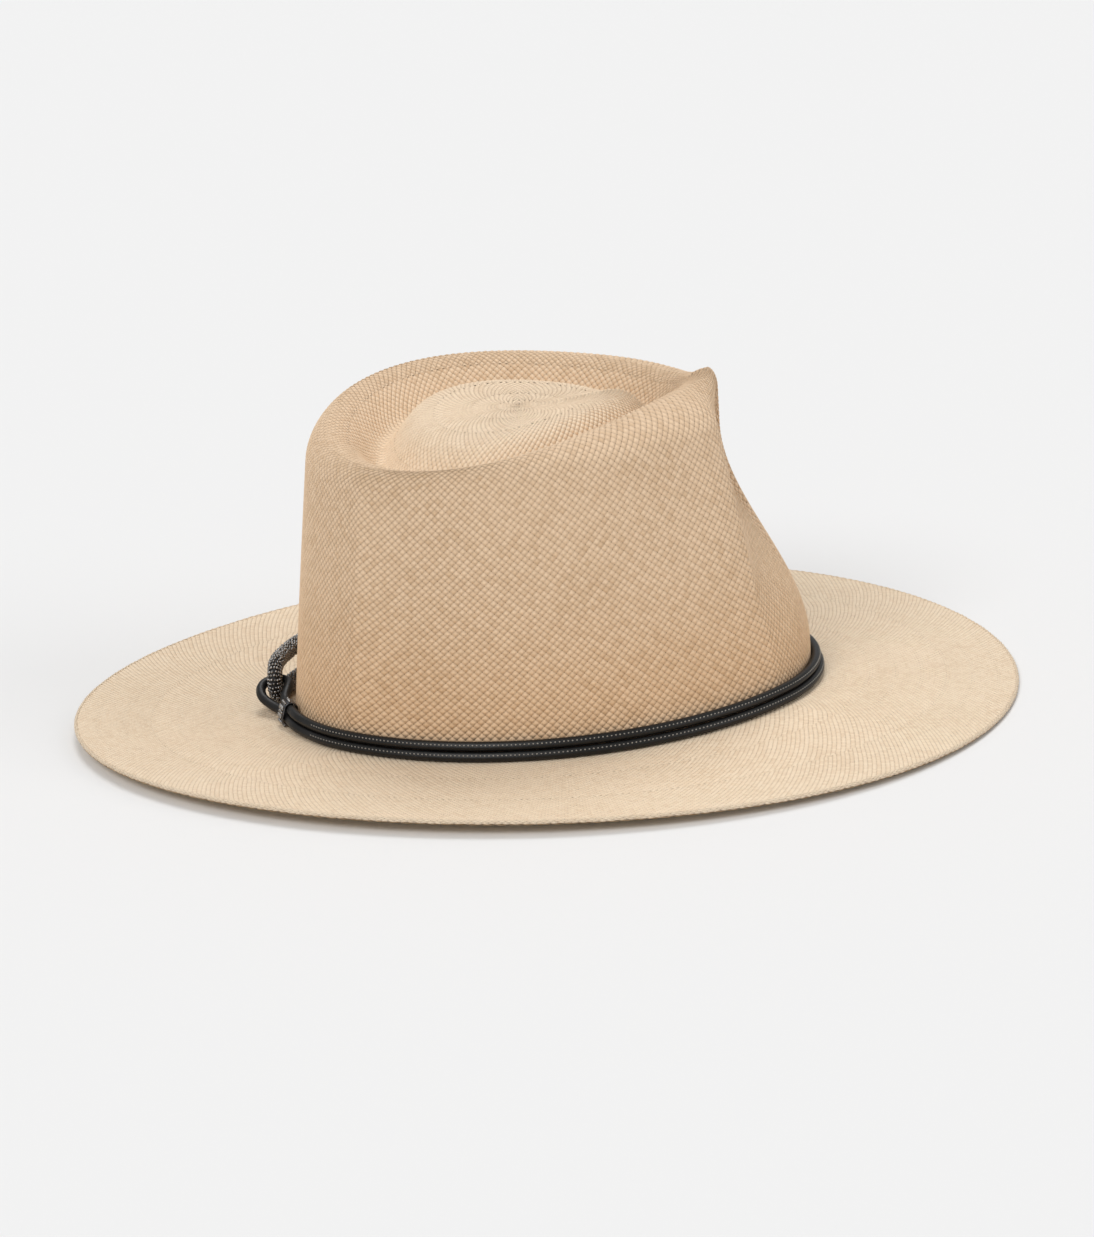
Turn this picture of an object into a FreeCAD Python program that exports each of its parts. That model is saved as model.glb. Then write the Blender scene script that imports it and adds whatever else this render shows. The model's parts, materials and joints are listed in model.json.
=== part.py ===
import FreeCAD, Part
import math
import os

import Sketcher

# A straw hat with a teardrop crown, and a band of rolled leather cord that lies round its foot.
# Millimetres, +X to the front, +Y to the wearer's left, +Z up, the floor at Z = 0.

SIZES = [
    # crown foot: an oval of four tangent arcs, on a plane that rises to the front
    ("foot_half_length", 104, "outside of the straw"),
    ("foot_half_width", 82, "outside of the straw"),
    ("foot_end_fullness", 1.02, "end arcs against an ellipse's own end radius"),
    ("foot_forward", 3, "centre of the oval in front of the origin"),
    ("foot_rise", 3.8, "height of the oval's centre"),
    ("foot_tilt", 1.2, "degrees"),
    # rim of the teardrop top
    ("rim_half_length", 75.5, ""),
    ("rim_spread", 94, "side reach before the teardrop narrows it"),
    ("rim_point", 0.6, "how fast the teardrop narrows to the front"),
    ("rim_tip_round", 0.06, "keeps the front of the teardrop round"),
    ("rim_back", 4.5, "centre of the teardrop behind the origin"),
    ("rim_front_height", 130, ""),
    ("rim_back_height", 117, ""),
    ("rim_climb", 0.62, "how the height changes between them"),
    ("rim_lean", 3.8, "left side higher than the middle"),
    # hollow of the top
    ("island_height", 123, ""),
    ("groove_depth", 15, ""),
    ("groove_place", 0.74, "share of the way out to the rim"),
    ("groove_width", 0.13, "share of the way out to the rim"),
    # wall
    ("pinch_depth", 6.5, "dents at the front"),
    ("pinch_angle", 24, "degrees each side of the front"),
    ("pinch_spread", 12, "degrees"),
    # brim
    ("brim_end_width", 85.2, "front and back"),
    ("brim_side_width", 80.7, ""),
    ("brim_back_shift", 3, "centre of the edge behind the foot's"),
    ("brim_flare", 0.096, "sides wider to the front"),
    ("edge_front_height", 1.61, "top of the straw"),
    ("edge_side_height", 5.8, "top of the straw"),
    ("edge_back_height", 6.0, "top of the straw"),
    ("straw_thickness", 1.6, ""),
    ("break_radius", 1.8, "where the crown turns into the brim"),
    # inside
    ("lining_gap", 0.6, "between the straw and what lies on it"),
    ("sweatband_height", 26, ""),
    ("sweatband_thickness", 0.9, ""),
    ("sweatband_lean", 7, "inwards, foot to top"),
    ("sweatband_lift", 2.6, "above the foot"),
    ("sweatband_join", 0.4, "gap where its ends meet"),
    ("reed_radius", 0.8, ""),
    ("stitch_count", 64, ""),
    ("stitch_radius", 0.22, ""),
    ("stitch_length", 3.2, ""),
    ("tab_width", 22, ""),
    ("tab_height", 12, ""),
    ("tab_thickness", 0.3, ""),
    ("tab_show", 5.5, "above the sweatband"),
    ("tab_gap", 0.5, "between the tab and the sweatband"),
    ("bow_loop_length", 11, ""),
    ("bow_height", 10.4, ""),
    ("bow_thickness", 2.2, ""),
    ("bow_centre_height", 15, "above the foot"),
    ("bow_gap", 0.3, ""),
    # band
    ("cord_radius", 1.95, ""),
    ("filler_radius", 1.2, ""),
    ("filler_fit", 0.03, ""),
    ("band_gap", 0.45, "between the band and the straw"),
    ("strand_touch", 0.1, "between the two strands"),
    ("lower_strand_out", 1.1, "lower strand outside the upper one"),
    ("thread_radius", 0.2, ""),
    ("thread_gap", 0.03, ""),
    # oblong link and the keepers
    ("link_near_angle", 166, "degrees, from the front"),
    ("link_bar_angle", 33, "degrees"),
    ("link_bend", 6.8, "radius of the middle of its round ends"),
    ("link_lift", 4.2, "middle of its lower bar above the foot"),
    ("link_out", 7.5, "its middle outside the foot"),
    ("link_radius", 3.2, ""),
    ("link_filler_radius", 2.2, ""),
    ("keeper_length", 5.5, ""),
    ("keeper_wall", 0.7, ""),
    ("keeper_play", 0.3, "between the keeper and the strands"),
    ("keeper_from_turn", 5.0, "from the end of its straight stretch"),
    ("keeper_bead_radius", 0.65, ""),
]

doc = FreeCAD.newDocument("straw_hat")
sheet = doc.addObject("Spreadsheet::Sheet", "sizes")
for row, (alias, value, note) in enumerate(SIZES, start=1):
    sheet.set("A%d" % row, alias)
    sheet.set("B%d" % row, str(value))
    sheet.set("C%d" % row, note)
    sheet.setAlias("B%d" % row, alias)
doc.recompute()

size = {alias: float(getattr(sheet, alias)) for alias, value, note in SIZES}


# ---------------------------------------------------------------- the oval of the crown's foot
END_RADIUS = "(sizes.foot_half_width ^ 2 / sizes.foot_half_length * sizes.foot_end_fullness)"
END_CENTRE = "(sizes.foot_half_length - %s)" % END_RADIUS
SIDE_RADIUS = (
    "((%s ^ 2 + sizes.foot_half_width ^ 2 - %s ^ 2) / (2 * (sizes.foot_half_width - %s)))"
    % (END_CENTRE, END_RADIUS, END_RADIUS)
)
SIDE_CENTRE = "(%s - sizes.foot_half_width)" % SIDE_RADIUS

half_length = size["foot_half_length"]
half_width = size["foot_half_width"]
end_radius = half_width ** 2 / half_length * size["foot_end_fullness"]
end_centre = half_length - end_radius
side_radius = (end_centre ** 2 + half_width ** 2 - end_radius ** 2) / (2 * (half_width - end_radius))
side_centre = side_radius - half_width
end_angle = math.degrees(math.atan2(side_centre, end_centre))


def foot_point(angle, out):
    """Point of the oval whose outward normal has this angle, moved out by a distance."""
    turn = math.radians(angle)
    folded = math.degrees(math.atan2(abs(math.sin(turn)), abs(math.cos(turn))))
    radius = end_radius + out
    centre_x = math.copysign(end_centre, math.cos(turn))
    centre_y = 0.0
    if folded > end_angle:
        radius = side_radius + out
        centre_x = 0.0
        centre_y = -math.copysign(side_centre, math.sin(turn))
    return FreeCAD.Vector(
        centre_x + radius * math.cos(turn), centre_y + radius * math.sin(turn), 0
    )


FOOT = FreeCAD.Placement(
    FreeCAD.Vector(size["foot_forward"], 0, size["foot_rise"]),
    FreeCAD.Rotation(FreeCAD.Vector(0, 1, 0), -size["foot_tilt"]),
)


# ---------------------------------------------------------------- straw: crown and brim
WALL_LEAN = 0.6        # share of the way in to the rim that the straight wall takes
WALL_ROUND = 0.9       # height at which the wall starts to round over
FRONT_LEAN = 0.89      # the same share down the front, which is hollow
FRONT_FOOT = 0.1
FRONT_TOP = 0.82
FRONT_SPREAD = 32.0    # degrees
PINCH_HEIGHT = 0.64
PINCH_TALL = 0.27
ISLAND_FLAT = 0.1
BRIM_CURVE = 1.4
COLUMNS = 72


def smooth_step(value):
    value = min(1.0, max(0.0, value))
    return value * value * (3 - 2 * value)


def bell(value):
    return math.exp(-value * value)


def signed_angle(turn):
    return math.degrees(math.atan2(math.sin(turn), math.cos(turn)))


def foot_corner(turn):
    """Corner between wall and brim, and the outward normal there."""
    normal = math.atan2(half_length * math.sin(turn), half_width * math.cos(turn))
    point = foot_point(math.degrees(normal), 0)
    return FOOT.multVec(point), FreeCAD.Vector(math.cos(normal), math.sin(normal), 0)


def rim_point(turn):
    narrow = (math.sin(turn / 2) ** 2 + size["rim_tip_round"]) ** size["rim_point"]
    side = math.sin(turn) * narrow
    climb = ((1 + math.cos(turn)) / 2) ** size["rim_climb"]
    rise = size["rim_front_height"] - size["rim_back_height"]
    return FreeCAD.Vector(
        size["rim_half_length"] * math.cos(turn) - size["rim_back"],
        size["rim_spread"] * side,
        size["rim_back_height"] + rise * climb + size["rim_lean"] * side,
    )


def round_over(height, start):
    if height <= start:
        return 0.0
    share = (height - start) / (1 - start)
    return 1 - math.sqrt(max(0.0, 1 - share * share))


def top_point(turn, share):
    """Point of the hollow top: share 0 is the middle of the island, 1 the rim."""
    rim = rim_point(turn)
    across = smooth_step((share - ISLAND_FLAT) / (1 - ISLAND_FLAT))
    groove = size["groove_depth"] * bell((share - size["groove_place"]) / size["groove_width"])
    height = size["island_height"] + (rim.z - size["island_height"]) * across - groove
    middle = -size["rim_back"]
    return FreeCAD.Vector(middle + (rim.x - middle) * share, rim.y * share, height)


def wall_point(turn, height):
    """Point of the wall: height 0 is the foot, 1 the rim."""
    foot, normal = foot_corner(turn)
    rim = rim_point(turn)
    front = bell(signed_angle(turn) / FRONT_SPREAD)
    side_in = WALL_LEAN * height ** 1.1 + (1 - WALL_LEAN) * round_over(height, WALL_ROUND)
    hollow = smooth_step((height - FRONT_FOOT) / (FRONT_TOP - FRONT_FOOT))
    front_in = FRONT_LEAN * hollow + (1 - FRONT_LEAN) * round_over(height, 0.94)
    inward = side_in + (front_in - side_in) * front
    around = (abs(signed_angle(turn)) - size["pinch_angle"]) / size["pinch_spread"]
    dent = size["pinch_depth"] * bell(around) * bell((height - PINCH_HEIGHT) / PINCH_TALL)
    point = foot + (rim - foot) * inward
    point.z = foot.z + (rim.z - foot.z) * height
    return point - normal * (dent * smooth_step(height * 4) * smooth_step((1 - height) * 8))


def edge_point(turn):
    ahead = math.cos(turn)
    front = size["edge_front_height"]
    side = size["edge_side_height"]
    back = size["edge_back_height"]
    height = side + (front - back) / 2 * ahead + ((front + back) / 2 - side) * ahead * ahead
    reach = half_length + size["brim_end_width"]
    spread = (half_width + size["brim_side_width"]) * (1 + size["brim_flare"] * ahead)
    middle = size["foot_forward"] - size["brim_back_shift"]
    return FreeCAD.Vector(middle + reach * ahead, spread * math.sin(turn), height)


def brim_point(turn, share, out):
    """Point of the brim: share 0 at the break, 1 at the edge."""
    foot, normal = foot_corner(turn)
    start = foot + normal * out
    edge = edge_point(turn)
    point = start + (edge - start) * share
    rise = share ** BRIM_CURVE
    point.z = start.z + (edge.z - start.z) * rise
    return point


def outside(turn, station):
    """Outer skin of the straw along one meridian."""
    part, value = station
    if part == "top":
        return top_point(turn, value)
    if part == "wall":
        return wall_point(turn, value)
    foot, normal = foot_corner(turn)
    radius = size["break_radius"]
    if part == "break":
        bend = math.radians(90 * value)
        lift = FreeCAD.Vector(0, 0, radius * (1 - math.sin(bend)))
        return foot + normal * (radius * (1 - math.cos(bend))) + lift
    return brim_point(turn, value, radius)


def skin_rows(stations, depth):
    """Rows of points along the stations, moved by a depth into the straw."""
    rows = []
    for index, station in enumerate(stations):
        ahead = stations[min(index + 1, len(stations) - 1)]
        behind = stations[max(index - 1, 0)]
        row = []
        for column in range(COLUMNS):
            turn = 2 * math.pi * (column + 0.5) / COLUMNS
            step = 0.01
            along = outside(turn, ahead) - outside(turn, behind)
            around = outside(turn + step, station) - outside(turn - step, station)
            inward = around.cross(along)
            inward.normalize()
            if station == stations[0] and station[0] == "top":
                inward = FreeCAD.Vector(0, 0, -1)
            row.append(outside(turn, station) + inward * depth)
        rows.append(row)
    return rows


def skin(rows):
    """Smooth closed skin that follows the rows of points, as its control net."""
    spans = len(rows) - 3
    surface = Part.BSplineSurface()
    surface.buildFromPolesMultsKnots(
        rows,
        [4] + [1] * (spans - 1) + [4],
        [1] * (COLUMNS + 1),
        [float(knot) for knot in range(spans + 1)],
        [float(knot) for knot in range(COLUMNS + 1)],
        False,
        True,
        3,
        3,
    )
    return surface.toShape()


def closed_ends(shell):
    ends = sorted([edge for edge in shell.Edges if edge.Closed], key=lambda edge: edge.Length)
    return Part.Wire([ends[0]]), Part.Wire([ends[-1]])


def straw_shape():
    top_shares = [0.1, 0.25, 0.4, 0.5, 0.58, 0.66, 0.74, 0.82, 0.9, 0.96, 1.0]
    heights = [0.995, 0.98, 0.955, 0.92, 0.87, 0.79, 0.7, 0.6, 0.5, 0.4, 0.3, 0.2, 0.12, 0.06]
    heights.append(size["break_radius"] / size["rim_back_height"])
    stations = [("top", share) for share in top_shares]
    stations += [("wall", height) for height in heights]
    stations += [("break", share) for share in (0.33, 0.67, 1.0)]
    stations += [("brim", share) for share in (0.04, 0.12, 0.25, 0.4, 0.55, 0.7, 0.85, 1.0)]
    outer = skin(skin_rows(stations, 0.0))
    inner = skin(skin_rows(stations, size["straw_thickness"]))
    outer_top, outer_edge = closed_ends(outer)
    inner_top, inner_edge = closed_ends(inner)
    edge_strip = Part.makeLoft([outer_edge, inner_edge], False, True)
    faces = [outer, inner, Part.Face(outer_top), Part.Face(inner_top), edge_strip]
    sewn = Part.Compound(faces)
    sewn.sewShape(0.01)
    return Part.Solid(sewn.Shells[0])


# ---------------------------------------------------------------- shared builders
def origin_plane(body, role):
    return next(item for item in body.Origin.OriginFeatures if item.Role == role)


def oval_sketch(body, name, out, height):
    """Closed sketch of the oval, moved out by one expression and up by another."""
    sketch = body.newObject("Sketcher::SketchObject", name)
    sketch.AttachmentSupport = (origin_plane(body, "XY_Plane"), "")
    sketch.MapMode = "FlatFace"
    sketch.setExpression("AttachmentOffset.Base.z", height)
    offset = float(sketch.evalExpression(out))
    arcs = [
        (end_centre, 0, end_radius, 0),
        (0, -side_centre, side_radius, 90),
        (-end_centre, 0, end_radius, 180),
        (0, side_centre, side_radius, 270),
    ]
    for centre_x, centre_y, radius, middle in arcs:
        half = end_angle if centre_y == 0 else 90 - end_angle
        circle = Part.Circle(
            FreeCAD.Vector(centre_x, centre_y, 0), FreeCAD.Vector(0, 0, 1), radius + offset
        )
        first = math.radians(middle - half)
        last = math.radians(middle + half)
        sketch.addGeometry(Part.ArcOfCircle(circle, first, last), False)
    for arc in range(4):
        sketch.addConstraint(Sketcher.Constraint("Tangent", arc, 2, (arc + 1) % 4, 1))
    for arc in (0, 2):
        sketch.addConstraint(Sketcher.Constraint("PointOnObject", arc, 3, -1))
    sketch.addConstraint(Sketcher.Constraint("PointOnObject", 1, 3, -2))
    sketch.addConstraint(Sketcher.Constraint("Equal", 0, 2))
    sketch.addConstraint(Sketcher.Constraint("Equal", 1, 3))
    bound = [
        (Sketcher.Constraint("Radius", 0, end_radius + offset), END_RADIUS + " + " + out),
        (Sketcher.Constraint("DistanceX", -1, 1, 0, 3, end_centre), END_CENTRE),
        (Sketcher.Constraint("DistanceY", 1, 3, -1, 1, side_centre), SIDE_CENTRE),
    ]
    for constraint, expression in bound:
        index = sketch.addConstraint(constraint)
        sketch.setExpression("Constraints[%d]" % index, expression)
    return sketch


def arc_tube(name, centre, radius, first, last, tube, height):
    """Part of a torus round a vertical axis, between two angles in degrees."""
    arc = doc.addObject("Part::Torus", name)
    arc.setExpression("Radius1", radius)
    arc.setExpression("Radius2", tube)
    arc.Angle3 = last - first
    arc.Placement = FreeCAD.Placement(
        FreeCAD.Vector(centre[0], centre[1], 0),
        FreeCAD.Rotation(FreeCAD.Vector(0, 0, 1), first),
    )
    arc.setExpression("Placement.Base.z", height)
    return arc


def oval_tubes(name, out, tube, height, first=-180.0, last=180.0):
    """Tubes along the oval between two angles of its normal, one for each of its arcs."""
    joins = [-360 + end_angle, -180 - end_angle, -180 + end_angle, -end_angle]
    joins += [end_angle, 180 - end_angle, 180 + end_angle]
    centres = [(0, -side_centre), (-end_centre, 0), (0, side_centre), (end_centre, 0)]
    centres += [(0, -side_centre), (-end_centre, 0)]
    tubes = []
    for index, centre in enumerate(centres):
        start = max(first, joins[index])
        stop = min(last, joins[index + 1])
        if stop - start < 0.01:
            continue
        radius = (END_RADIUS if centre[1] == 0 else SIDE_RADIUS) + " + " + out
        tubes.append(arc_tube("%s_%d" % (name, index), centre, radius, start, stop, tube, height))
    return tubes


def joined(label, tubes):
    fuse = doc.addObject("Part::MultiFuse", label)
    fuse.Shapes = tubes
    fuse.Refine = False
    return fuse


def rounded_path(points):
    """Straight runs joined by tangent arcs, each as large as its two runs allow."""
    edges = []
    start = points[0]
    for before, corner, after in zip(points, points[1:], points[2:]):
        back = (before - corner)
        ahead = (after - corner)
        reach = 0.45 * min(back.Length, ahead.Length)
        back.normalize()
        ahead.normalize()
        half = (math.pi - back.getAngle(ahead)) / 2
        radius = reach / math.tan(half)
        first = corner + back * reach
        last = corner + ahead * reach
        inward = back + ahead
        inward.normalize()
        middle = corner + inward * (radius / math.cos(half) - radius)
        edges.append(Part.LineSegment(start, first).toShape())
        edges.append(Part.Arc(first, middle, last).toShape())
        bend_radii.append(radius)
        start = last
    edges.append(Part.LineSegment(start, points[-1]).toShape())
    return Part.Wire(edges)


def swept_tube(name, path, radius):
    """Tube along a path, its volume checked against section times length."""
    start = path.Edges[0]
    ring = Part.Wire([Part.Circle(start.valueAt(start.FirstParameter),
                                  start.tangentAt(start.FirstParameter), radius).toShape()])
    tube = path.makePipeShell([ring], True, False)
    expected = math.pi * radius * radius * path.Length
    assert abs(tube.Volume / expected - 1) < 0.02, name
    feature = doc.addObject("Part::Feature", name)
    feature.Shape = tube
    return feature


bend_radii = []


# ---------------------------------------------------------------- straw body
straw = doc.addObject("Part::Feature", "straw_body")
straw.Shape = straw_shape()
straw.Placement = FreeCAD.Placement()


# ---------------------------------------------------------------- inside the crown
LINING = "(-(sizes.straw_thickness + sizes.lining_gap))"
LEAN = "sizes.sweatband_lean"
lining_out = -(size["straw_thickness"] + size["lining_gap"])


def sweatband_body():
    """Leather strip that stands inside the foot of the crown, its ends meeting at the back."""
    body = doc.addObject("PartDesign::Body", "sweatband")
    low = "sizes.sweatband_lift"
    high = "sizes.sweatband_lift + sizes.sweatband_height"
    inner = LINING + " - sizes.sweatband_thickness"
    loft = None
    for kind, out in (("PartDesign::AdditiveLoft", LINING), ("PartDesign::SubtractiveLoft", inner)):
        tag = kind.split("::")[1]
        foot = oval_sketch(body, tag + "_foot", out, low)
        head = oval_sketch(body, tag + "_head", out + " - " + LEAN, high)
        loft = body.newObject(kind, tag)
        loft.Profile = foot
        loft.Sections = [head]
        loft.Ruled = True
        doc.recompute()
    before = loft.Shape.Volume
    sketch = body.newObject("Sketcher::SketchObject", "join_outline")
    sketch.AttachmentSupport = (origin_plane(body, "YZ_Plane"), "")
    sketch.MapMode = "FlatFace"
    half = size["sweatband_join"] / 2
    top = size["sweatband_lift"] + size["sweatband_height"]
    corners = [(-half, 0), (half, 0), (half, top), (-half, top)]
    for index, corner in enumerate(corners):
        following = corners[(index + 1) % 4]
        line = Part.LineSegment(FreeCAD.Vector(*corner, 0), FreeCAD.Vector(*following, 0))
        sketch.addGeometry(line, False)
    for index in range(4):
        sketch.addConstraint(Sketcher.Constraint("Coincident", index, 2, (index + 1) % 4, 1))
    for index, way in ((1, "Vertical"), (2, "Horizontal"), (3, "Vertical")):
        sketch.addConstraint(Sketcher.Constraint(way, index))
    sketch.addConstraint(Sketcher.Constraint("PointOnObject", 0, 1, -1))
    sketch.addConstraint(Sketcher.Constraint("Symmetric", 0, 1, 0, 2, -2))
    wide = sketch.addConstraint(Sketcher.Constraint("DistanceX", 0, 1, 0, 2, 2 * half))
    sketch.setExpression("Constraints[%d]" % wide, "sizes.sweatband_join")
    tall = sketch.addConstraint(Sketcher.Constraint("DistanceY", 1, 1, 1, 2, top))
    sketch.setExpression("Constraints[%d]" % tall, high)
    cut = body.newObject("PartDesign::Pocket", "join")
    cut.Profile = sketch
    cut.Type = "ThroughAll"
    cut.Reversed = False
    doc.recompute()
    assert cut.Shape.Volume < before - 1
    assert not cut.Shape.isInside(foot_back(), 0.01, True)
    body.Placement = FOOT
    return body


def foot_back():
    """Point inside the leather at the middle of the back, half way up."""
    middle = size["sweatband_lift"] + size["sweatband_height"] / 2
    inwards = lining_out - size["sweatband_thickness"] / 2 - size["sweatband_lean"] / 2
    return FreeCAD.Vector(-half_length - inwards, 0, middle)


sweatband = sweatband_body()

reed = joined("sweatband_reed", oval_tubes(
    "reed_arc", LINING + " - sizes.reed_radius", "sizes.reed_radius", "sizes.reed_radius + 0.2"))
reed.Placement = FOOT


def stitch_ring():
    """Stitches along the lower edge of the sweatband's inner face."""
    height = size["sweatband_lift"] + 1.4
    lean = size["sweatband_lean"] * 1.4 / size["sweatband_height"]
    depth = size["sweatband_thickness"] + lean + size["stitch_radius"] + 0.06
    count = int(size["stitch_count"])
    solids = []
    for index in range(count):
        angle = 360 * (index + 0.5) / count
        middle = foot_point(angle, lining_out - depth)
        turn = math.radians(angle)
        along = FreeCAD.Vector(-math.sin(turn), math.cos(turn), 0)
        start = middle - along * (size["stitch_length"] / 2)
        start.z = height
        solids.append(Part.makeCylinder(size["stitch_radius"], size["stitch_length"], start, along))
    feature = doc.addObject("Part::Feature", "sweatband_stitches")
    feature.Shape = Part.Compound(solids)
    feature.Placement = FOOT
    return feature


stitches = stitch_ring()


def ribbon_bow():
    """Flat bow over the join: two loops and a knot."""
    loops = []
    for side in (-1, 1):
        loop = doc.addObject("Part::Ellipsoid", "bow_loop")
        loop.setExpression("Radius1", "sizes.bow_height / 2")
        loop.setExpression("Radius2", "sizes.bow_thickness / 2")
        loop.setExpression("Radius3", "sizes.bow_loop_length / 2")
        loop.setExpression("Placement.Base.y", "%d * sizes.bow_loop_length / 2 * 0.96" % side)
        loops.append(loop)
    knot = doc.addObject("Part::Ellipsoid", "bow_knot")
    knot.setExpression("Radius1", "sizes.bow_height * 0.36")
    knot.setExpression("Radius2", "sizes.bow_thickness * 0.5")
    knot.setExpression("Radius3", "sizes.bow_height * 0.3")
    bow = joined("sweatband_bow", loops + [knot])
    height = size["bow_centre_height"]
    share = (height - size["sweatband_lift"]) / size["sweatband_height"]
    slope = size["sweatband_lean"] / size["sweatband_height"]
    inwards = lining_out - size["sweatband_thickness"] - size["sweatband_lean"] * share
    sag = size["bow_loop_length"] ** 2 / (2 * end_radius)
    stand = size["bow_thickness"] / 2 + size["bow_gap"] + sag
    place = FreeCAD.Vector(-half_length - inwards + stand, 0, height)
    tilt = FreeCAD.Rotation(FreeCAD.Vector(0, 1, 0), math.degrees(math.atan(slope)))
    bow.Placement = FOOT.multiply(FreeCAD.Placement(place, tilt))
    return bow


bow = ribbon_bow()

tab = doc.addObject("Part::Box", "size_tab")
tab.setExpression("Length", "sizes.tab_width")
tab.setExpression("Width", "sizes.tab_thickness")
tab.setExpression("Height", "sizes.tab_height")
tab_bottom = size["sweatband_lift"] + size["sweatband_height"] + size["tab_show"] - size["tab_height"]
tab_share = (tab_bottom - size["sweatband_lift"]) / size["sweatband_height"]
tab_in = lining_out - size["sweatband_lean"] * tab_share + size["tab_gap"]
tab.Placement = FOOT.multiply(FreeCAD.Placement(
    FreeCAD.Vector(-size["tab_width"] / 2, half_width + tab_in, tab_bottom), FreeCAD.Rotation()))


# ---------------------------------------------------------------- the link and where the cord turns
strand_out = size["cord_radius"] + size["band_gap"]
strand_rise = math.sqrt(
    (2 * size["cord_radius"] + size["strand_touch"]) ** 2 - size["lower_strand_out"] ** 2
)
LOWER = ("(sizes.cord_radius + sizes.band_gap + sizes.lower_strand_out)",
         "(sizes.cord_radius + sizes.band_gap)")
UPPER = ("(sizes.cord_radius + sizes.band_gap)",
         "(sizes.cord_radius + sizes.band_gap + sqrt((2 * sizes.cord_radius + sizes.strand_touch) ^ 2"
         " - sizes.lower_strand_out ^ 2))")

HOOK_REACH = 48.5      # along the foot, from the end of a strand to the middle of the link's round end
KEEPER_START = 13.0
KEEPER_END = 30.5
KEEPER_OUT = 1.6      # how far the strands stand off to make room for a keeper
KEEPER_UP = 1.2

far_angle = size["link_near_angle"] - size["link_bar_angle"]
far_turn = math.radians(far_angle)
link_radius_out = end_radius + size["link_out"]
far_x = -end_centre + link_radius_out * math.cos(far_turn)
far_y = link_radius_out * math.sin(far_turn)
far_side_angle = math.degrees(math.atan2(far_y + side_centre, far_x))
right_start = size["link_near_angle"] + math.degrees(HOOK_REACH / end_radius)
left_start = far_side_angle - math.degrees(HOOK_REACH / side_radius)


def beside_crown(side, along, out, height):
    """Point beside the back of the crown, measured along its foot from the end of a strand."""
    if side == "right":
        turn = math.radians(right_start) - along / end_radius
        radius = end_radius + out
        return FreeCAD.Vector(-end_centre + radius * math.cos(turn), radius * math.sin(turn), height)
    turn = math.radians(left_start) + along / side_radius
    radius = side_radius + out
    return FreeCAD.Vector(radius * math.cos(turn), -side_centre + radius * math.sin(turn), height)


def strand_points(side, out, height):
    """End of a strand, its tangent run, and the straight stretch that the keeper slides on."""
    end = beside_crown(side, 0, out, height)
    way = beside_crown(side, 0.01, out, height) - beside_crown(side, -0.01, out, height)
    way.normalize()
    first = beside_crown(side, KEEPER_START, out + KEEPER_OUT, height + KEEPER_UP)
    last = beside_crown(side, KEEPER_END, out + KEEPER_OUT, height + KEEPER_UP)
    return [end, end + way * 7, first, last]


# how the cord goes round the link's end, from the lower strand out and back to the upper one:
# along the foot, out from it, and up
HOOK_TURN = [
    (35.2, 9.4, 5.0),
    (39.0, 13.6, 7.6),
    (44.8, 13.9, 10.4),
    (48.6, 8.2, 11.4),
    (45.2, 2.3, 11.2),
    (39.2, 2.3, 10.4),
    (34.4, 3.6, 8.8),
]


def hook_path(side):
    lower = strand_points(side, strand_out + size["lower_strand_out"], strand_out)
    upper = strand_points(side, strand_out, strand_out + strand_rise)
    turn = [beside_crown(side, *point) for point in HOOK_TURN]
    return rounded_path(lower + turn + list(reversed(upper)))


hook_paths = {side: hook_path(side) for side in ("right", "left")}


def whole_cord(name, tube):
    """Both strands and both turns round the link, as one closed loop of tube."""
    pieces = []
    for strand, (out, height) in (("lower", LOWER), ("upper", UPPER)):
        tag = "%s_%s" % (name, strand)
        pieces += oval_tubes(tag, out, tube, height, right_start - 360, left_start)
    radius = float(pieces[0].evalExpression(tube))
    for side in ("right", "left"):
        pieces.append(swept_tube("%s_turn_%s" % (name, side), hook_paths[side], radius))
    return joined(name, pieces)


leather_outside = whole_cord("cord_outside", "sizes.cord_radius")
leather_inside = whole_cord("cord_inside", "(sizes.filler_radius + sizes.filler_fit)")
cord_cover = doc.addObject("Part::Cut", "cord_cover")
cord_cover.Base = leather_outside
cord_cover.Tool = leather_inside
cord_cover.Refine = False
cord_cover.Placement = FOOT
cord_core = whole_cord("cord_core", "sizes.filler_radius")
cord_core.Placement = FOOT

thread_reach = "(sizes.cord_radius + sizes.thread_radius + sizes.thread_gap) * sqrt(0.5)"
threads = []
for strand, (out, height) in (("lower", LOWER), ("upper", UPPER)):
    threads += oval_tubes(
        "thread_" + strand, out + " + " + thread_reach, "sizes.thread_radius",
        height + " + " + thread_reach, right_start - 360, left_start)
cord_thread = joined("cord_thread", threads)
cord_thread.Placement = FOOT


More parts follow.
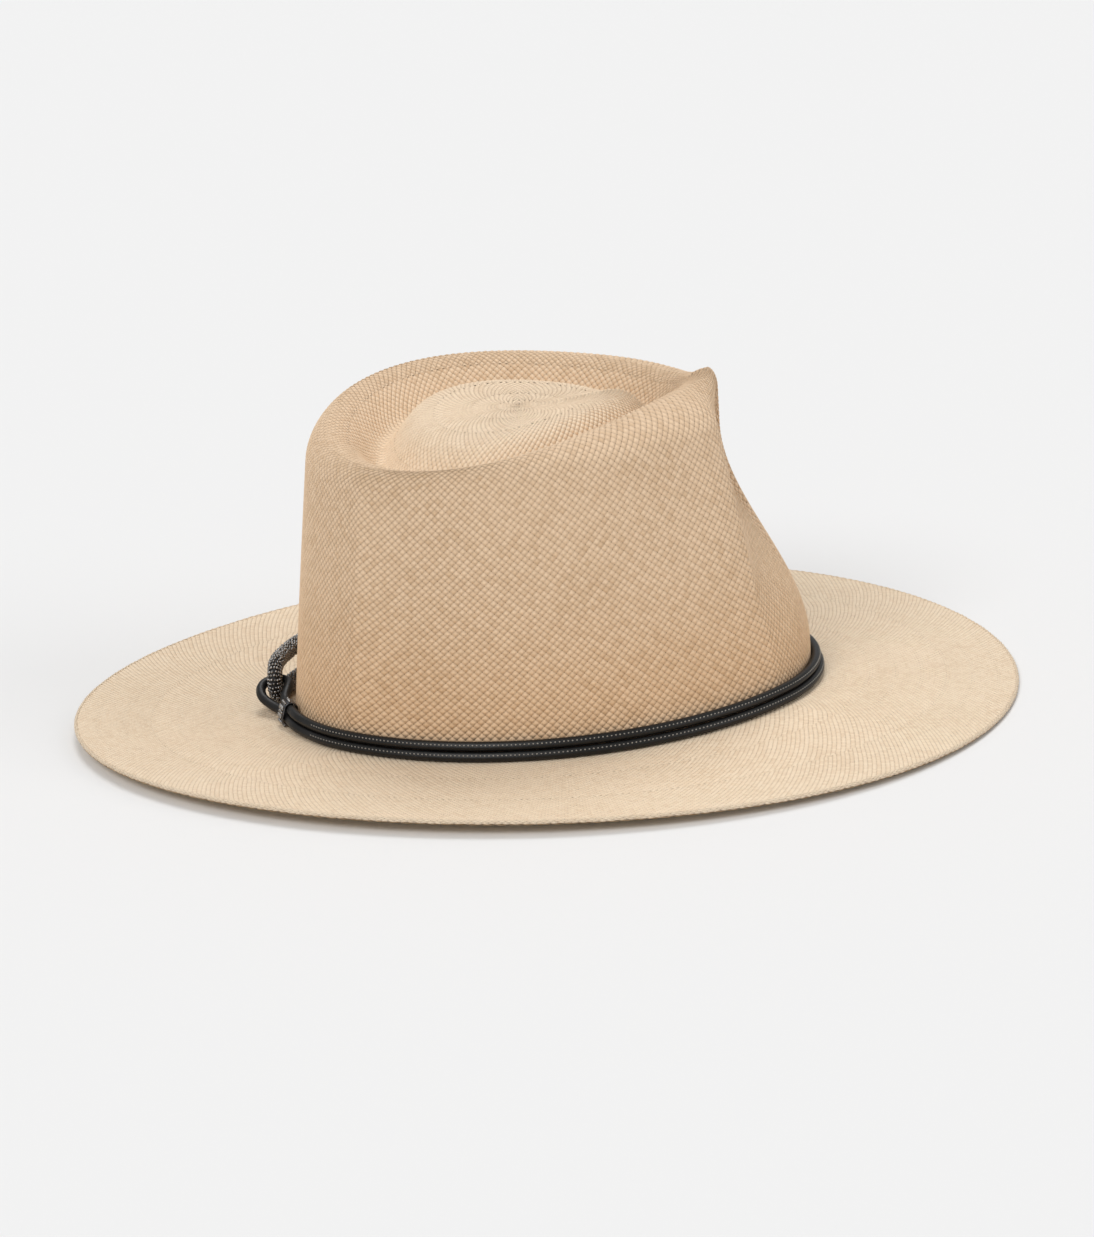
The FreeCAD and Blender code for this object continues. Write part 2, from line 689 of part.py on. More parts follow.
def link_tube(name, tube):
    """Oblong ring bent round the crown: two bars and two round ends."""
    low = "sizes.link_lift"
    high = "(sizes.link_lift + 2 * sizes.link_bend)"
    bend = END_RADIUS + " + sizes.link_out"
    centre = (-end_centre, 0)
    pieces = []
    for tag, height in (("low", low), ("high", high)):
        bar = "%s_%s" % (name, tag)
        pieces.append(arc_tube(bar, centre, bend, far_angle, size["link_near_angle"], tube, height))
    for tag, angle, first in (("near", size["link_near_angle"], 0), ("far", far_angle, 180)):
        turn = math.radians(angle)
        end = doc.addObject("Part::Torus", "%s_%s" % (name, tag))
        end.setExpression("Radius1", "sizes.link_bend")
        end.setExpression("Radius2", tube)
        end.Angle3 = 180
        outward = FreeCAD.Vector(math.cos(turn), math.sin(turn), 0)
        along = FreeCAD.Vector(-math.sin(turn), math.cos(turn), 0)
        if first:
            along = along * -1
            outward = outward * -1
        middle = FreeCAD.Vector(
            centre[0] + link_radius_out * math.cos(turn), link_radius_out * math.sin(turn),
            size["link_lift"] + size["link_bend"])
        facing = FreeCAD.Rotation(FreeCAD.Vector(0, 0, -1), along, outward)
        end.Placement = FreeCAD.Placement(middle, facing)
        pieces.append(end)
    return joined(name, pieces)


link_outside = link_tube("link_outside", "sizes.link_radius")
link_inside = link_tube("link_inside", "(sizes.link_filler_radius + sizes.filler_fit)")
link_beads = doc.addObject("Part::Cut", "link_beads")
link_beads.Base = link_outside
link_beads.Tool = link_inside
link_beads.Refine = False
link_beads.Placement = FOOT
link_core = link_tube("link_core", "sizes.link_filler_radius")
link_core.Placement = FOOT


# ---------------------------------------------------------------- keepers
def keeper_place(side):
    """Frame of a keeper: its middle, along the strands (x), out (y) and up (z)."""
    middles = []
    for out, height in ((strand_out + size["lower_strand_out"], strand_out),
                        (strand_out, strand_out + strand_rise)):
        points = strand_points(side, out, height)
        reach = (points[3] - points[2]).Length
        way = points[3] - points[2]
        way.normalize()
        middles.append(points[2] + way * (reach - size["keeper_length"] / 2 - size["keeper_from_turn"]))
    middle = (middles[0] + middles[1]) * 0.5
    across = middles[1] - middles[0]
    facing = FreeCAD.Rotation(way, way.cross(across), across, "XZY")
    return FreeCAD.Placement(middle, facing)


def slot_sketch(body, name, radius):
    """Round-ended outline across the strands."""
    sketch = body.newObject("Sketcher::SketchObject", name)
    sketch.AttachmentSupport = (origin_plane(body, "YZ_Plane"), "")
    sketch.MapMode = "FlatFace"
    value = float(sketch.evalExpression(radius))
    half = size["cord_radius"] + size["strand_touch"] / 2
    up = FreeCAD.Vector(0, 0, 1)
    top = Part.Circle(FreeCAD.Vector(0, half, 0), up, value)
    bottom = Part.Circle(FreeCAD.Vector(0, -half, 0), up, value)
    sketch.addGeometry(Part.ArcOfCircle(top, 0, math.pi), False)
    left = Part.LineSegment(FreeCAD.Vector(-value, half, 0), FreeCAD.Vector(-value, -half, 0))
    sketch.addGeometry(left, False)
    sketch.addGeometry(Part.ArcOfCircle(bottom, math.pi, 2 * math.pi), False)
    right = Part.LineSegment(FreeCAD.Vector(value, -half, 0), FreeCAD.Vector(value, half, 0))
    sketch.addGeometry(right, False)
    for index in range(4):
        sketch.addConstraint(Sketcher.Constraint("Tangent", index, 2, (index + 1) % 4, 1))
    sketch.addConstraint(Sketcher.Constraint("PointOnObject", 0, 3, -2))
    sketch.addConstraint(Sketcher.Constraint("Symmetric", 0, 3, 2, 3, -1, 1))
    sketch.addConstraint(Sketcher.Constraint("Vertical", 1))
    round_size = sketch.addConstraint(Sketcher.Constraint("Radius", 0, value))
    sketch.setExpression("Constraints[%d]" % round_size, radius)
    apart = sketch.addConstraint(Sketcher.Constraint("DistanceY", 2, 3, 0, 3, 2 * half))
    sketch.setExpression("Constraints[%d]" % apart, "2 * sizes.cord_radius + sizes.strand_touch")
    return sketch


def keeper_ring(side):
    body = doc.addObject("PartDesign::Body", "keeper_%s_ring" % side)
    hole = "(sizes.cord_radius + sizes.keeper_play)"
    pad = body.newObject("PartDesign::Pad", "ring_wall")
    pad.Profile = slot_sketch(body, "ring_outline", hole + " + sizes.keeper_wall")
    pad.Midplane = True
    pad.setExpression("Length", "sizes.keeper_length")
    doc.recompute()
    solid = pad.Shape.Volume
    pocket = body.newObject("PartDesign::Pocket", "ring_hole")
    pocket.Profile = slot_sketch(body, "hole_outline", hole)
    pocket.Type = "ThroughAll"
    pocket.Midplane = True
    doc.recompute()
    assert pocket.Shape.Volume < solid * 0.6
    body.Placement = FOOT.multiply(keeper_place(side))
    return body


def keeper_beads(side):
    """Rows of beads on the outer face of a keeper."""
    radius = size["keeper_bead_radius"]
    face = size["cord_radius"] + size["keeper_play"] + size["keeper_wall"] + radius + 0.02
    half = size["cord_radius"] + size["strand_touch"] / 2
    rows = int((2 * half + 0.01) / (2 * radius + 0.05)) + 1
    columns = int(size["keeper_length"] / (2 * radius + 0.05))
    outward = 1 if side == "right" else -1
    beads = []
    for row in range(rows):
        for column in range(columns):
            centre = FreeCAD.Vector(
                (column - (columns - 1) / 2) * (2 * radius + 0.05),
                outward * face,
                (row - (rows - 1) / 2) * (2 * radius + 0.05),
            )
            beads.append(Part.makeSphere(radius, centre))
    feature = doc.addObject("Part::Feature", "keeper_%s_beads" % side)
    feature.Shape = Part.Compound(beads)
    feature.Placement = FOOT.multiply(keeper_place(side))
    return feature


keepers = []
for side in ("right", "left"):
    keepers.append(keeper_ring(side))
    keepers.append(keeper_beads(side))


# ---------------------------------------------------------------- check and write
doc.recompute()
nodes = [straw, sweatband, reed, stitches, bow, tab, cord_cover, cord_core, cord_thread]
nodes += [link_core, link_beads] + keepers
for item in doc.Objects:
    assert "Invalid" not in item.State and "Error" not in item.State, item.Name
for item in nodes:
    item.Label = item.Name
    assert not item.Shape.isNull() and item.Shape.isValid(), item.Name
os.makedirs("parts", exist_ok=True)
for item in nodes:
    item.Shape.exportStep("parts/%s.step" % item.Label)
    print("%-22s %9.1f mm3" % (item.Label, item.Shape.Volume))
for side in ("right", "left"):
    facing = FOOT.multiply(keeper_place(side)).Rotation.multVec(FreeCAD.Vector(-1, 0, 0))
    print("keeper_%s slides along %.5f %.5f %.5f" % (side, facing.x, facing.y, facing.z))
print("cord arcs, mm:", ", ".join("%.1f" % radius for radius in bend_radii))
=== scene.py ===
import json
import math

import bmesh
import bpy
import numpy as np
from mathutils import Matrix, Vector


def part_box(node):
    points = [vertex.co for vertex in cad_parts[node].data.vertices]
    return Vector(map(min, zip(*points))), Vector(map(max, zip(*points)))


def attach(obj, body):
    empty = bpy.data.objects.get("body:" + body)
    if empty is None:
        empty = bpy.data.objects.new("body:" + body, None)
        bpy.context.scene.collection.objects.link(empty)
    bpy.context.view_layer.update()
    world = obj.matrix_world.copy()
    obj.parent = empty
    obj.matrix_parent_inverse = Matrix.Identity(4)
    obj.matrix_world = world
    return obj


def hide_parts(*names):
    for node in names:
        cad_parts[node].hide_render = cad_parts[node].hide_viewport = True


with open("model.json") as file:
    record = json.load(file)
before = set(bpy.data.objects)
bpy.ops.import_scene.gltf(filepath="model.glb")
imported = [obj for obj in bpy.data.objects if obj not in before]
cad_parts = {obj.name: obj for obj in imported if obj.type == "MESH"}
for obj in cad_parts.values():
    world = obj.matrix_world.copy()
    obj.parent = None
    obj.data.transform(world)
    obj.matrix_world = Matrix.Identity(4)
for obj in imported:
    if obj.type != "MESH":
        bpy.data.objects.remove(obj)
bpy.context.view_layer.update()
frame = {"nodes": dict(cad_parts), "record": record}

MM = 0.001

# ---------------------------------------------------------------- camera and studio
VIEW_TURN = math.radians(5.0)
VIEW_RISE = math.radians(18.4)
VIEW_ROLL = math.radians(-3.4)
VIEW_DISTANCE = 2.2
VIEW_AIM_ABOVE = math.radians(0.84329)    # from the frame's origin to the middle of the view
SENSOR = 36.0
LENS = 159.1625
WORLD_LIGHT = 0.45
FLOOR_REACH = 6.0
FLOOR_GREY = 0.84
# where each light stands, its strength and its angle in degrees
LIGHTS = {"key": ((-1.0, -1.25, 1.5), 1.15, 28),
          "overhead": ((0.1, 0.7, 1.5), 1.0, 28),
          "side": ((1.6, -0.8, 0.8), 0.55, 40)}


def add_object(name, data):
    item = bpy.data.objects.new(name, data)
    bpy.context.scene.collection.objects.link(item)
    return item


def make_camera():
    toward = Vector((-math.sin(VIEW_TURN) * math.cos(VIEW_RISE),
                     -math.cos(VIEW_TURN) * math.cos(VIEW_RISE),
                     math.sin(VIEW_RISE)))
    level = Vector((math.cos(VIEW_TURN), -math.sin(VIEW_TURN), 0))
    upright = level.cross(-toward)
    right = level * math.cos(VIEW_ROLL) + upright * math.sin(VIEW_ROLL)
    up = upright * math.cos(VIEW_ROLL) - level * math.sin(VIEW_ROLL)
    back = toward * math.cos(VIEW_AIM_ABOVE) - up * math.sin(VIEW_AIM_ABOVE)
    up = back.cross(right)
    data = bpy.data.cameras.new("camera")
    data.sensor_width = SENSOR
    data.lens = LENS
    data.clip_end = 20.0
    camera = add_object("camera", data)
    matrix = np.eye(4)
    for column, axis in enumerate((right, up, back)):
        matrix[:3, column] = axis
    matrix[:3, 3] = toward * VIEW_DISTANCE
    camera.matrix_world = Matrix(matrix.tolist())
    bpy.context.scene.camera = camera


def soft_sun(name, place, power, spread):
    data = bpy.data.lights.new(name, "SUN")
    data.energy = power
    data.angle = math.radians(spread)
    light = add_object(name, data)
    light.location = place
    light.rotation_euler = Vector(place).to_track_quat("Z", "Y").to_euler()


def make_studio():
    bpy.context.scene.view_settings.view_transform = "Standard"
    world = bpy.data.worlds.new("studio")
    world.use_nodes = True
    background = world.node_tree.nodes["Background"]
    background.inputs["Color"].default_value = (1, 1, 1, 1)
    background.inputs["Strength"].default_value = WORLD_LIGHT
    bpy.context.scene.world = world
    for name, (place, power, spread) in LIGHTS.items():
        soft_sun(name, place, power, spread)
    data = bpy.data.meshes.new("floor")
    corners = [(-FLOOR_REACH, -FLOOR_REACH, 0), (FLOOR_REACH, -FLOOR_REACH, 0),
               (FLOOR_REACH, FLOOR_REACH, 0), (-FLOOR_REACH, FLOOR_REACH, 0)]
    data.from_pydata(corners, [], [(0, 1, 2, 3)])
    floor = add_object("floor", data)
    paper = bpy.data.materials.new("studio_paper")
    paper.use_nodes = True
    shader = paper.node_tree.nodes["Principled BSDF"]
    shader.inputs["Base Color"].default_value = (FLOOR_GREY, FLOOR_GREY, FLOOR_GREY, 1)
    shader.inputs["Roughness"].default_value = 0.9
    shader.inputs["Specular IOR Level"].default_value = 0.0
    data.materials.append(paper)


# ---------------------------------------------------------------- node helpers
class Shade:
    """Builds one material's nodes; sockets are passed from call to call."""

    def __init__(self, name, roughness=0.6, **settings):
        self.material = bpy.data.materials.new(name)
        self.material.use_nodes = True
        self.tree = self.material.node_tree
        self.shader = self.tree.nodes["Principled BSDF"]
        self.shader.inputs["Roughness"].default_value = roughness
        for socket, value in settings.items():
            self.shader.inputs[socket.replace("_", " ")].default_value = value

    def node(self, kind, inputs=(), **properties):
        node = self.tree.nodes.new(kind)
        for key, value in properties.items():
            setattr(node, key, value)
        for key, value in dict(inputs).items():
            if hasattr(value, "links"):
                self.tree.links.new(value, node.inputs[key])
            else:
                node.inputs[key].default_value = value
        return node

    def math(self, operation, *values, clamp=False):
        node = self.node("ShaderNodeMath", dict(enumerate(values)), operation=operation)
        node.use_clamp = clamp
        return node.outputs[0]

    def between(self, low, high, value):
        node = self.node("ShaderNodeMapRange", {"Value": value, "From Min": low, "From Max": high},
                         interpolation_type="SMOOTHSTEP")
        return node.outputs["Result"]

    def mix(self, share, first, second, mode="MIX"):
        node = self.node("ShaderNodeMix", data_type="RGBA", blend_type=mode)
        for index, value in ((0, share), (6, first), (7, second)):
            if hasattr(value, "links"):
                self.tree.links.new(value, node.inputs[index])
            elif index == 0:
                node.inputs[index].default_value = value
            else:
                node.inputs[index].default_value = (*value, 1)
        return node.outputs[2]

    def pick(self, share, first, second):
        node = self.node("ShaderNodeMix", {2: first, 3: second}, data_type="FLOAT")
        self.tree.links.new(share, node.inputs[0])
        return node.outputs[0]

    def vector(self, x, y, z=0.0):
        return self.node("ShaderNodeCombineXYZ", {0: x, 1: y, 2: z}).outputs[0]

    def noise(self, vector, scale, detail=2.0):
        node = self.node("ShaderNodeTexNoise", {"Vector": vector, "Scale": scale, "Detail": detail})
        return node.outputs[0]

    def random(self, vector):
        return self.node("ShaderNodeTexWhiteNoise", {"Vector": vector}).outputs["Value"]

    def place(self):
        return self.node("ShaderNodeTexCoord").outputs["Object"]

    def weave_map(self):
        given = self.node("ShaderNodeUVMap", uv_map="weave").outputs[0]
        split = self.node("ShaderNodeSeparateXYZ", {0: given})
        return split.outputs[0], split.outputs[1]

    def finish(self, colour, height=None, distance=0.0003, strength=1.0, roughness=None):
        self.tree.links.new(colour, self.shader.inputs["Base Color"])
        if height is not None:
            bump = self.node("ShaderNodeBump",
                             {"Height": height, "Distance": distance, "Strength": strength})
            self.tree.links.new(bump.outputs[0], self.shader.inputs["Normal"])
        if roughness is not None:
            self.tree.links.new(roughness, self.shader.inputs["Roughness"])
        return self.material


# ---------------------------------------------------------------- finishes
# how much each thing changes a straw's tone
STRAW_SHARE, CELL_SHARE, FIBRE_SHARE, CLOUD_SHARE = 0.14, 0.26, 0.35, 0.3
STRAW_RUN = 23.0                # cells before a straw's tone changes
# painted shade: how far the colour darkens towards the gap colour between the straws and in the holes
SEAM_SHADE, HOLE_SHADE = 0.62, 0.7
# painted shade: the crown's straw is tinted darker towards its foot, near the brim and band, between these
# heights in metres
FOOT_SHADE_TINT = (0.86, 0.72, 0.55)
FOOT_SHADE_LOW, FOOT_SHADE_HIGH = 0.01, 0.075


def straw_finish(name, light, dark, gap, bump, hole_rows=0.0, foot_shade=0.0, lit_top_tones=None):
    """Plain diagonal weave: each cell shows one straw, with its neighbours the other way. The gap colour is
    painted shade between the straws and in the holes.
    """
    shade = Shade(name, roughness=0.62, Sheen_Weight=0.05)
    shade.shader.inputs["Specular IOR Level"].default_value = 0.3
    u, v = shade.weave_map()
    p = shade.math("MULTIPLY", shade.math("ADD", u, v), 0.5)
    q = shade.math("MULTIPLY", shade.math("SUBTRACT", u, v), 0.5)
    cell_p = shade.math("FLOOR", shade.math("ADD", p, 0.5))
    cell_q = shade.math("FLOOR", shade.math("ADD", q, 0.5))
    local_p = shade.math("SUBTRACT", p, cell_p)
    local_q = shade.math("SUBTRACT", q, cell_q)
    over = shade.math("FLOORED_MODULO", shade.math("ADD", cell_p, cell_q), 2.0)
    along = shade.pick(over, local_p, local_q)
    across = shade.pick(over, local_q, local_p)
    strip = shade.pick(over, cell_q, cell_p)
    straw_id = shade.math("ADD", strip, shade.math("MULTIPLY", over, 517.0))
    square = shade.math("POWER", shade.math("ABSOLUTE", shade.math("MULTIPLY", across, 1.96)), 2.4)
    dive = shade.math("POWER", shade.math("ABSOLUTE", shade.math("MULTIPLY", along, 2.0)), 3.0)
    crown_of_straw = shade.math("SUBTRACT", 1.0, square, clamp=True)
    pillow = shade.math("MULTIPLY", shade.math("SQRT", crown_of_straw),
                        shade.math("SUBTRACT", 1.0, shade.math("MULTIPLY", dive, 0.7)))
    cell_tone = shade.random(shade.vector(cell_p, cell_q, 3.0))
    straw_tone = shade.random(shade.vector(straw_id, 7.0, shade.math("FLOOR", shade.math(
        "DIVIDE", shade.pick(over, cell_p, cell_q), STRAW_RUN))))
    fibre = shade.noise(shade.vector(shade.math("MULTIPLY", along, 1.2),
                                     shade.math("MULTIPLY", across, 11.0),
                                     shade.math("MULTIPLY", cell_tone, 90.0)), 1.0, 1.0)
    cloud = shade.noise(shade.place(), 22.0, 3.0)
    tone = shade.math("ADD", shade.math("MULTIPLY", straw_tone, STRAW_SHARE),
                      shade.math("MULTIPLY", cell_tone, CELL_SHARE))
    for grain, share in ((fibre, FIBRE_SHARE), (cloud, CLOUD_SHARE)):
        uneven = shade.math("MULTIPLY", shade.math("SUBTRACT", grain, 0.5), share)
        tone = shade.math("ADD", tone, uneven)
    # painted light: the middle of the crown's top takes lighter tones of the same straw, standing in for
    # light from above
    if lit_top_tones:
        inner = shade.node("ShaderNodeAttribute", attribute_name="inner").outputs["Fac"]
        light, dark = shade.mix(inner, light, lit_top_tones[0]), shade.mix(inner, dark, lit_top_tones[1])
    colour = shade.mix(shade.between(0.0, 0.75, tone), light, dark)
    # painted shade: the straw's colour darkens towards the crown's foot
    if foot_shade:
        height_here = shade.node("ShaderNodeSeparateXYZ", {0: shade.place()}).outputs[2]
        foot_shaded = shade.math("MULTIPLY", shade.between(FOOT_SHADE_HIGH, FOOT_SHADE_LOW, height_here), foot_shade)
        colour = shade.mix(foot_shaded, colour, FOOT_SHADE_TINT, mode="MULTIPLY")
    # painted shade between the straws, where each straw dips at its edges
    seam = shade.math("SUBTRACT", 1.0, shade.between(0.03, 0.42, pillow))
    colour = shade.mix(shade.math("MULTIPLY", seam, SEAM_SHADE), colour, gap)
    # painted shade in the holes at the cells' corners and, on the brim, in rows of open cells
    corner = shade.math("MULTIPLY", shade.between(0.36, 0.5, shade.math("ABSOLUTE", local_p)),
                        shade.between(0.36, 0.5, shade.math("ABSOLUTE", local_q)))
    hole_shade = shade.math("MULTIPLY", corner, HOLE_SHADE)
    if hole_rows:
        row = shade.math("FLOORED_MODULO", v, hole_rows)
        near = shade.between(1.4, 0.5, shade.math("ABSOLUTE", shade.math("SUBTRACT", row, 1.0)))
        open_cell = shade.between(0.3, 0.42, shade.random(shade.vector(cell_p, cell_q, 11.0)))
        punched_shade = shade.math("MULTIPLY", shade.math("MULTIPLY", near, open_cell), seam)
        hole_shade = shade.math("ADD", hole_shade, punched_shade, clamp=True)
    colour = shade.mix(hole_shade, colour, tuple(value * 0.35 for value in gap))
    height = shade.math("ADD", pillow, shade.math("MULTIPLY", fibre, 0.16))
    return shade.finish(colour, height, bump)


def leather_finish(name, colour, roughness, grain=900.0, depth=0.00008):
    shade = Shade(name, roughness=roughness)
    shade.shader.inputs["Specular IOR Level"].default_value = 0.36
    place = shade.place()
    cells = shade.node("ShaderNodeTexVoronoi", {"Vector": place, "Scale": grain})
    cloud = shade.noise(place, 60.0, 4.0)
    lighter = tuple(value * 1.35 + 0.002 for value in colour)
    tint = shade.mix(shade.between(0.2, 0.9, cloud), colour, lighter)
    rough = shade.math("ADD", roughness - 0.08, shade.math("MULTIPLY", cloud, 0.2))
    height = shade.math("ADD", cells.outputs["Distance"], cloud)
    return shade.finish(tint, height, depth, 0.7, rough)


def ribbed_finish(name, colour, pitch, rise=0.00015):
    """Ribbed ribbon or plain woven cloth: threads run across the piece's own map."""
    shade = Shade(name, roughness=0.7, Sheen_Weight=0.25)
    u, v = shade.weave_map()
    rib = shade.math("SINE", shade.math("MULTIPLY", u, 2 * math.pi / pitch))
    thread = shade.math("SINE", shade.math("MULTIPLY", v, 2 * math.pi / (pitch * 0.6)))
    height = shade.math("ADD", rib, shade.math("MULTIPLY", thread, 0.35))
    cloud = shade.noise(shade.place(), 400.0, 3.0)
    # painted shade: the colour darkens in the hollows between the ribs and threads
    share = shade.math("ADD", shade.between(-1.2, 1.2, height), shade.math("MULTIPLY", cloud, 0.3))
    tint = shade.mix(share, tuple(value * 0.6 for value in colour), colour)
    return shade.finish(tint, height, rise)


def metal_finish(name, colour, roughness):
    shade = Shade(name, roughness=roughness, Metallic=1.0)
    place = shade.place()
    patch = shade.noise(place, 700.0, 2.0)
    brighter = tuple(value * 2.2 for value in colour)
    tint = shade.mix(shade.between(0.35, 0.65, patch), colour, brighter)
    rough = shade.math("ADD", roughness - 0.06, shade.math("MULTIPLY", patch, 0.2))
    return shade.finish(tint, patch, 0.00004, 0.5, rough)


def twist_finish(name, colour):
    """Twisted yarn, for fillers and sewing thread."""
    shade = Shade(name, roughness=0.8, Sheen_Weight=0.2)
    place = shade.place()
    yarn = shade.noise(place, 1500.0, 2.0)
    tint = shade.mix(yarn, tuple(value * 0.65 for value in colour), colour)
    return shade.finish(tint, yarn, 0.0001)


# ---------------------------------------------------------------- the hat's shape, in millimetres
FOOT_LONG, FOOT_WIDE = 104.0, 82.0
FOOT_FULL = 1.02
FOOT_FORWARD, FOOT_RISE, FOOT_TILT = 3.0, 3.8, math.radians(1.2)
END_R = FOOT_WIDE ** 2 / FOOT_LONG * FOOT_FULL
END_X = FOOT_LONG - END_R
SIDE_R = (END_X ** 2 + FOOT_WIDE ** 2 - END_R ** 2) / (2 * (FOOT_WIDE - END_R))
SIDE_Y = SIDE_R - FOOT_WIDE
END_TURN = math.atan2(SIDE_Y, END_X)
RIM_LONG, RIM_SPREAD, RIM_BACK = 75.5, 94.0, 4.5
RIM_POINT, RIM_TIP_ROUND, RIM_CLIMB, RIM_LEAN = 0.6, 0.06, 0.62, 3.8
RIM_FRONT_Z, RIM_BACK_Z = 130.0, 117.0
TIP_RISE, TIP_TURN = 2.4, 0.26              # the front tip stands above the rim
NOTCH_DIP, NOTCH_AT, NOTCH_TURN = 2.4, 0.5, 0.3
ISLAND_Z, ISLAND_LONG, ISLAND_WIDE = 123.0, 58.0, 52.0
ISLAND_FLAT, ISLAND_ROUND = 0.1, 0.6
GROOVE, GROOVE_AT, GROOVE_WIDE = 15.0, 0.74, 0.13
SIDE_SHARE, SIDE_CURL, SIDE_ROUND = 0.6, 1.1, 0.9
FRONT_SHARE, FRONT_FROM, FRONT_OVER, FRONT_ROUND = 0.89, 0.1, 0.72, 0.94
FRONT_TURN = 32.0                           # degrees; the front leans in more than the sides
NOSE_TURN, CREASE_TURN = (4.0, 2.0), (34.0, 6.0)    # degrees at the top, and more lower down
DENT_DEPTH, DENT_ROUND, DENT_AT, DENT_TALL = 5.4, 0.02, 0.68, 0.3
RIDGE_RISE, RIDGE_PAST, RIDGE_TURN = 3.4, 3.0, 11.0
LOW_FROM, LOW_OVER = 0.85, 0.75
EDGE_END, EDGE_SIDE, EDGE_FLARE = 85.2, 80.7, 0.096
EDGE_Z = (1.61, 5.8, 6.0)                   # front, sides and back
BRIM_CURL = 1.4
STRAW = 1.6
BREAK = 1.8
BREAK_STATION = 0.03
BRIM_START = 2 + BREAK_STATION


def unit(vectors):
    return vectors / np.linalg.norm(vectors, axis=-1, keepdims=True)


def whole_round(count):
    return np.linspace(0, 2 * math.pi, count, endpoint=False)


def smooth_step(value):
    value = np.clip(value, 0.0, 1.0)
    return value * value * (3 - 2 * value)


def bell(value):
    return np.exp(-np.square(value))


def oval(normal, out=0.0):
    """Points of the crown's foot whose outward normals have these angles, moved out."""
    cosine, sine = np.cos(normal), np.sin(normal)
    folded = np.arctan2(np.abs(sine), np.abs(cosine))
    side = folded > END_TURN
    radius = np.where(side, SIDE_R, END_R) + out
    centre_x = np.where(side, 0.0, np.copysign(END_X, cosine))
    centre_y = np.where(side, -np.copysign(SIDE_Y, sine), 0.0)
    return centre_x + radius * cosine, centre_y + radius * sine


def on_foot(x, y, z):
    """From the foot's own plane, which rises to the front, to the hat's frame."""
    cosine, sine = math.cos(FOOT_TILT), math.sin(FOOT_TILT)
    return np.stack([FOOT_FORWARD + x * cosine - z * sine,
                     y + 0 * x,
                     FOOT_RISE + x * sine + z * cosine], -1)


def foot_corner(turn):
    normal = np.arctan2(FOOT_LONG * np.sin(turn), FOOT_WIDE * np.cos(turn))
    x, y = oval(normal)
    return on_foot(x, y, 0 * x), np.stack([np.cos(normal), np.sin(normal), 0 * normal], -1)


def rim(turn):
    """Crest of the crown's rim: a teardrop, higher on its far side, with its point to the front."""
    side = np.sin(turn) * (np.sin(turn / 2) ** 2 + RIM_TIP_ROUND) ** RIM_POINT
    climb = ((1 + np.cos(turn)) / 2) ** RIM_CLIMB
    around = np.arctan2(np.sin(turn), np.cos(turn))
    tip = TIP_RISE * bell(around / TIP_TURN) - NOTCH_DIP * bell((around - NOTCH_AT) / NOTCH_TURN)
    height = RIM_BACK_Z + (RIM_FRONT_Z - RIM_BACK_Z) * climb + RIM_LEAN * side + tip
    return np.stack([RIM_LONG * np.cos(turn) - RIM_BACK, RIM_SPREAD * side, height], -1)


def round_over(height, start):
    share = np.clip((height - start) / (1 - start), 0.0, 1.0)
    return 1 - np.sqrt(1 - share * share)


def top_skin(turn, share):
    edge = rim(turn)
    across = smooth_step((share - ISLAND_FLAT) / (1 - ISLAND_FLAT))
    rounder = smooth_step(share / ISLAND_ROUND)[..., None]
    ring = np.stack([ISLAND_LONG * np.cos(turn) - RIM_BACK, ISLAND_WIDE * np.sin(turn), edge[..., 2]], -1)
    edge = ring + (edge - ring) * rounder
    groove = GROOVE * bell((share - GROOVE_AT) / GROOVE_WIDE)
    return np.stack([-RIM_BACK + (edge[..., 0] + RIM_BACK) * share, edge[..., 1] * share,
                     ISLAND_Z + (edge[..., 2] - ISLAND_Z) * across - groove], -1)


def wall_skin(turn, height):
    foot, normal = foot_corner(turn)
    edge = rim(turn)
    around = np.degrees(np.arctan2(np.sin(turn), np.cos(turn)))
    front = bell(around / FRONT_TURN)
    side_in = SIDE_SHARE * height ** SIDE_CURL + (1 - SIDE_SHARE) * round_over(height, SIDE_ROUND)
    front_in = (FRONT_SHARE * smooth_step((height - FRONT_FROM) / FRONT_OVER)
                + (1 - FRONT_SHARE) * round_over(height, FRONT_ROUND))
    inward = side_in + (front_in - side_in) * front
    low_side = smooth_step((LOW_FROM - height) / LOW_OVER)
    nose = NOSE_TURN[0] + NOSE_TURN[1] * low_side
    crease = CREASE_TURN[0] + CREASE_TURN[1] * low_side
    facet = np.clip((np.abs(around) - nose) / (crease - nose), 0, 1)
    hollow = np.sqrt(4 * facet * (1 - facet) + DENT_ROUND) - math.sqrt(DENT_ROUND)
    ridge = RIDGE_RISE * bell((np.abs(around) - crease - RIDGE_PAST) / RIDGE_TURN)
    dent = (DENT_DEPTH * hollow - ridge) * bell((height - DENT_AT) / DENT_TALL)
    dent = dent * smooth_step(height * 4) * smooth_step((1.02 - height) * 9)
    point = foot + (edge - foot) * inward[..., None]
    point[..., 2] = foot[..., 2] + (edge[..., 2] - foot[..., 2]) * height
    return point - normal * dent[..., None]


def brim_skin(turn, share):
    foot, normal = foot_corner(turn)
    start = foot + normal * BREAK
    ahead = np.cos(turn)
    front, side, back = EDGE_Z
    height = side + (front - back) / 2 * ahead + ((front + back) / 2 - side) * ahead * ahead
    edge = np.stack([(FOOT_LONG + EDGE_END) * ahead,
                     (FOOT_WIDE + EDGE_SIDE) * (1 + EDGE_FLARE * ahead) * np.sin(turn), height], -1)
    point = start + (edge - start) * share[..., None]
    point[..., 2] = start[..., 2] + (height - start[..., 2]) * share ** BRIM_CURL
    return point


def break_skin(turn, share):
    foot, normal = foot_corner(turn)
    bend = share * math.pi / 2
    point = foot + normal * (BREAK * (1 - np.cos(bend)))[..., None]
    point[..., 2] += BREAK * (1 - np.sin(bend))
    return point


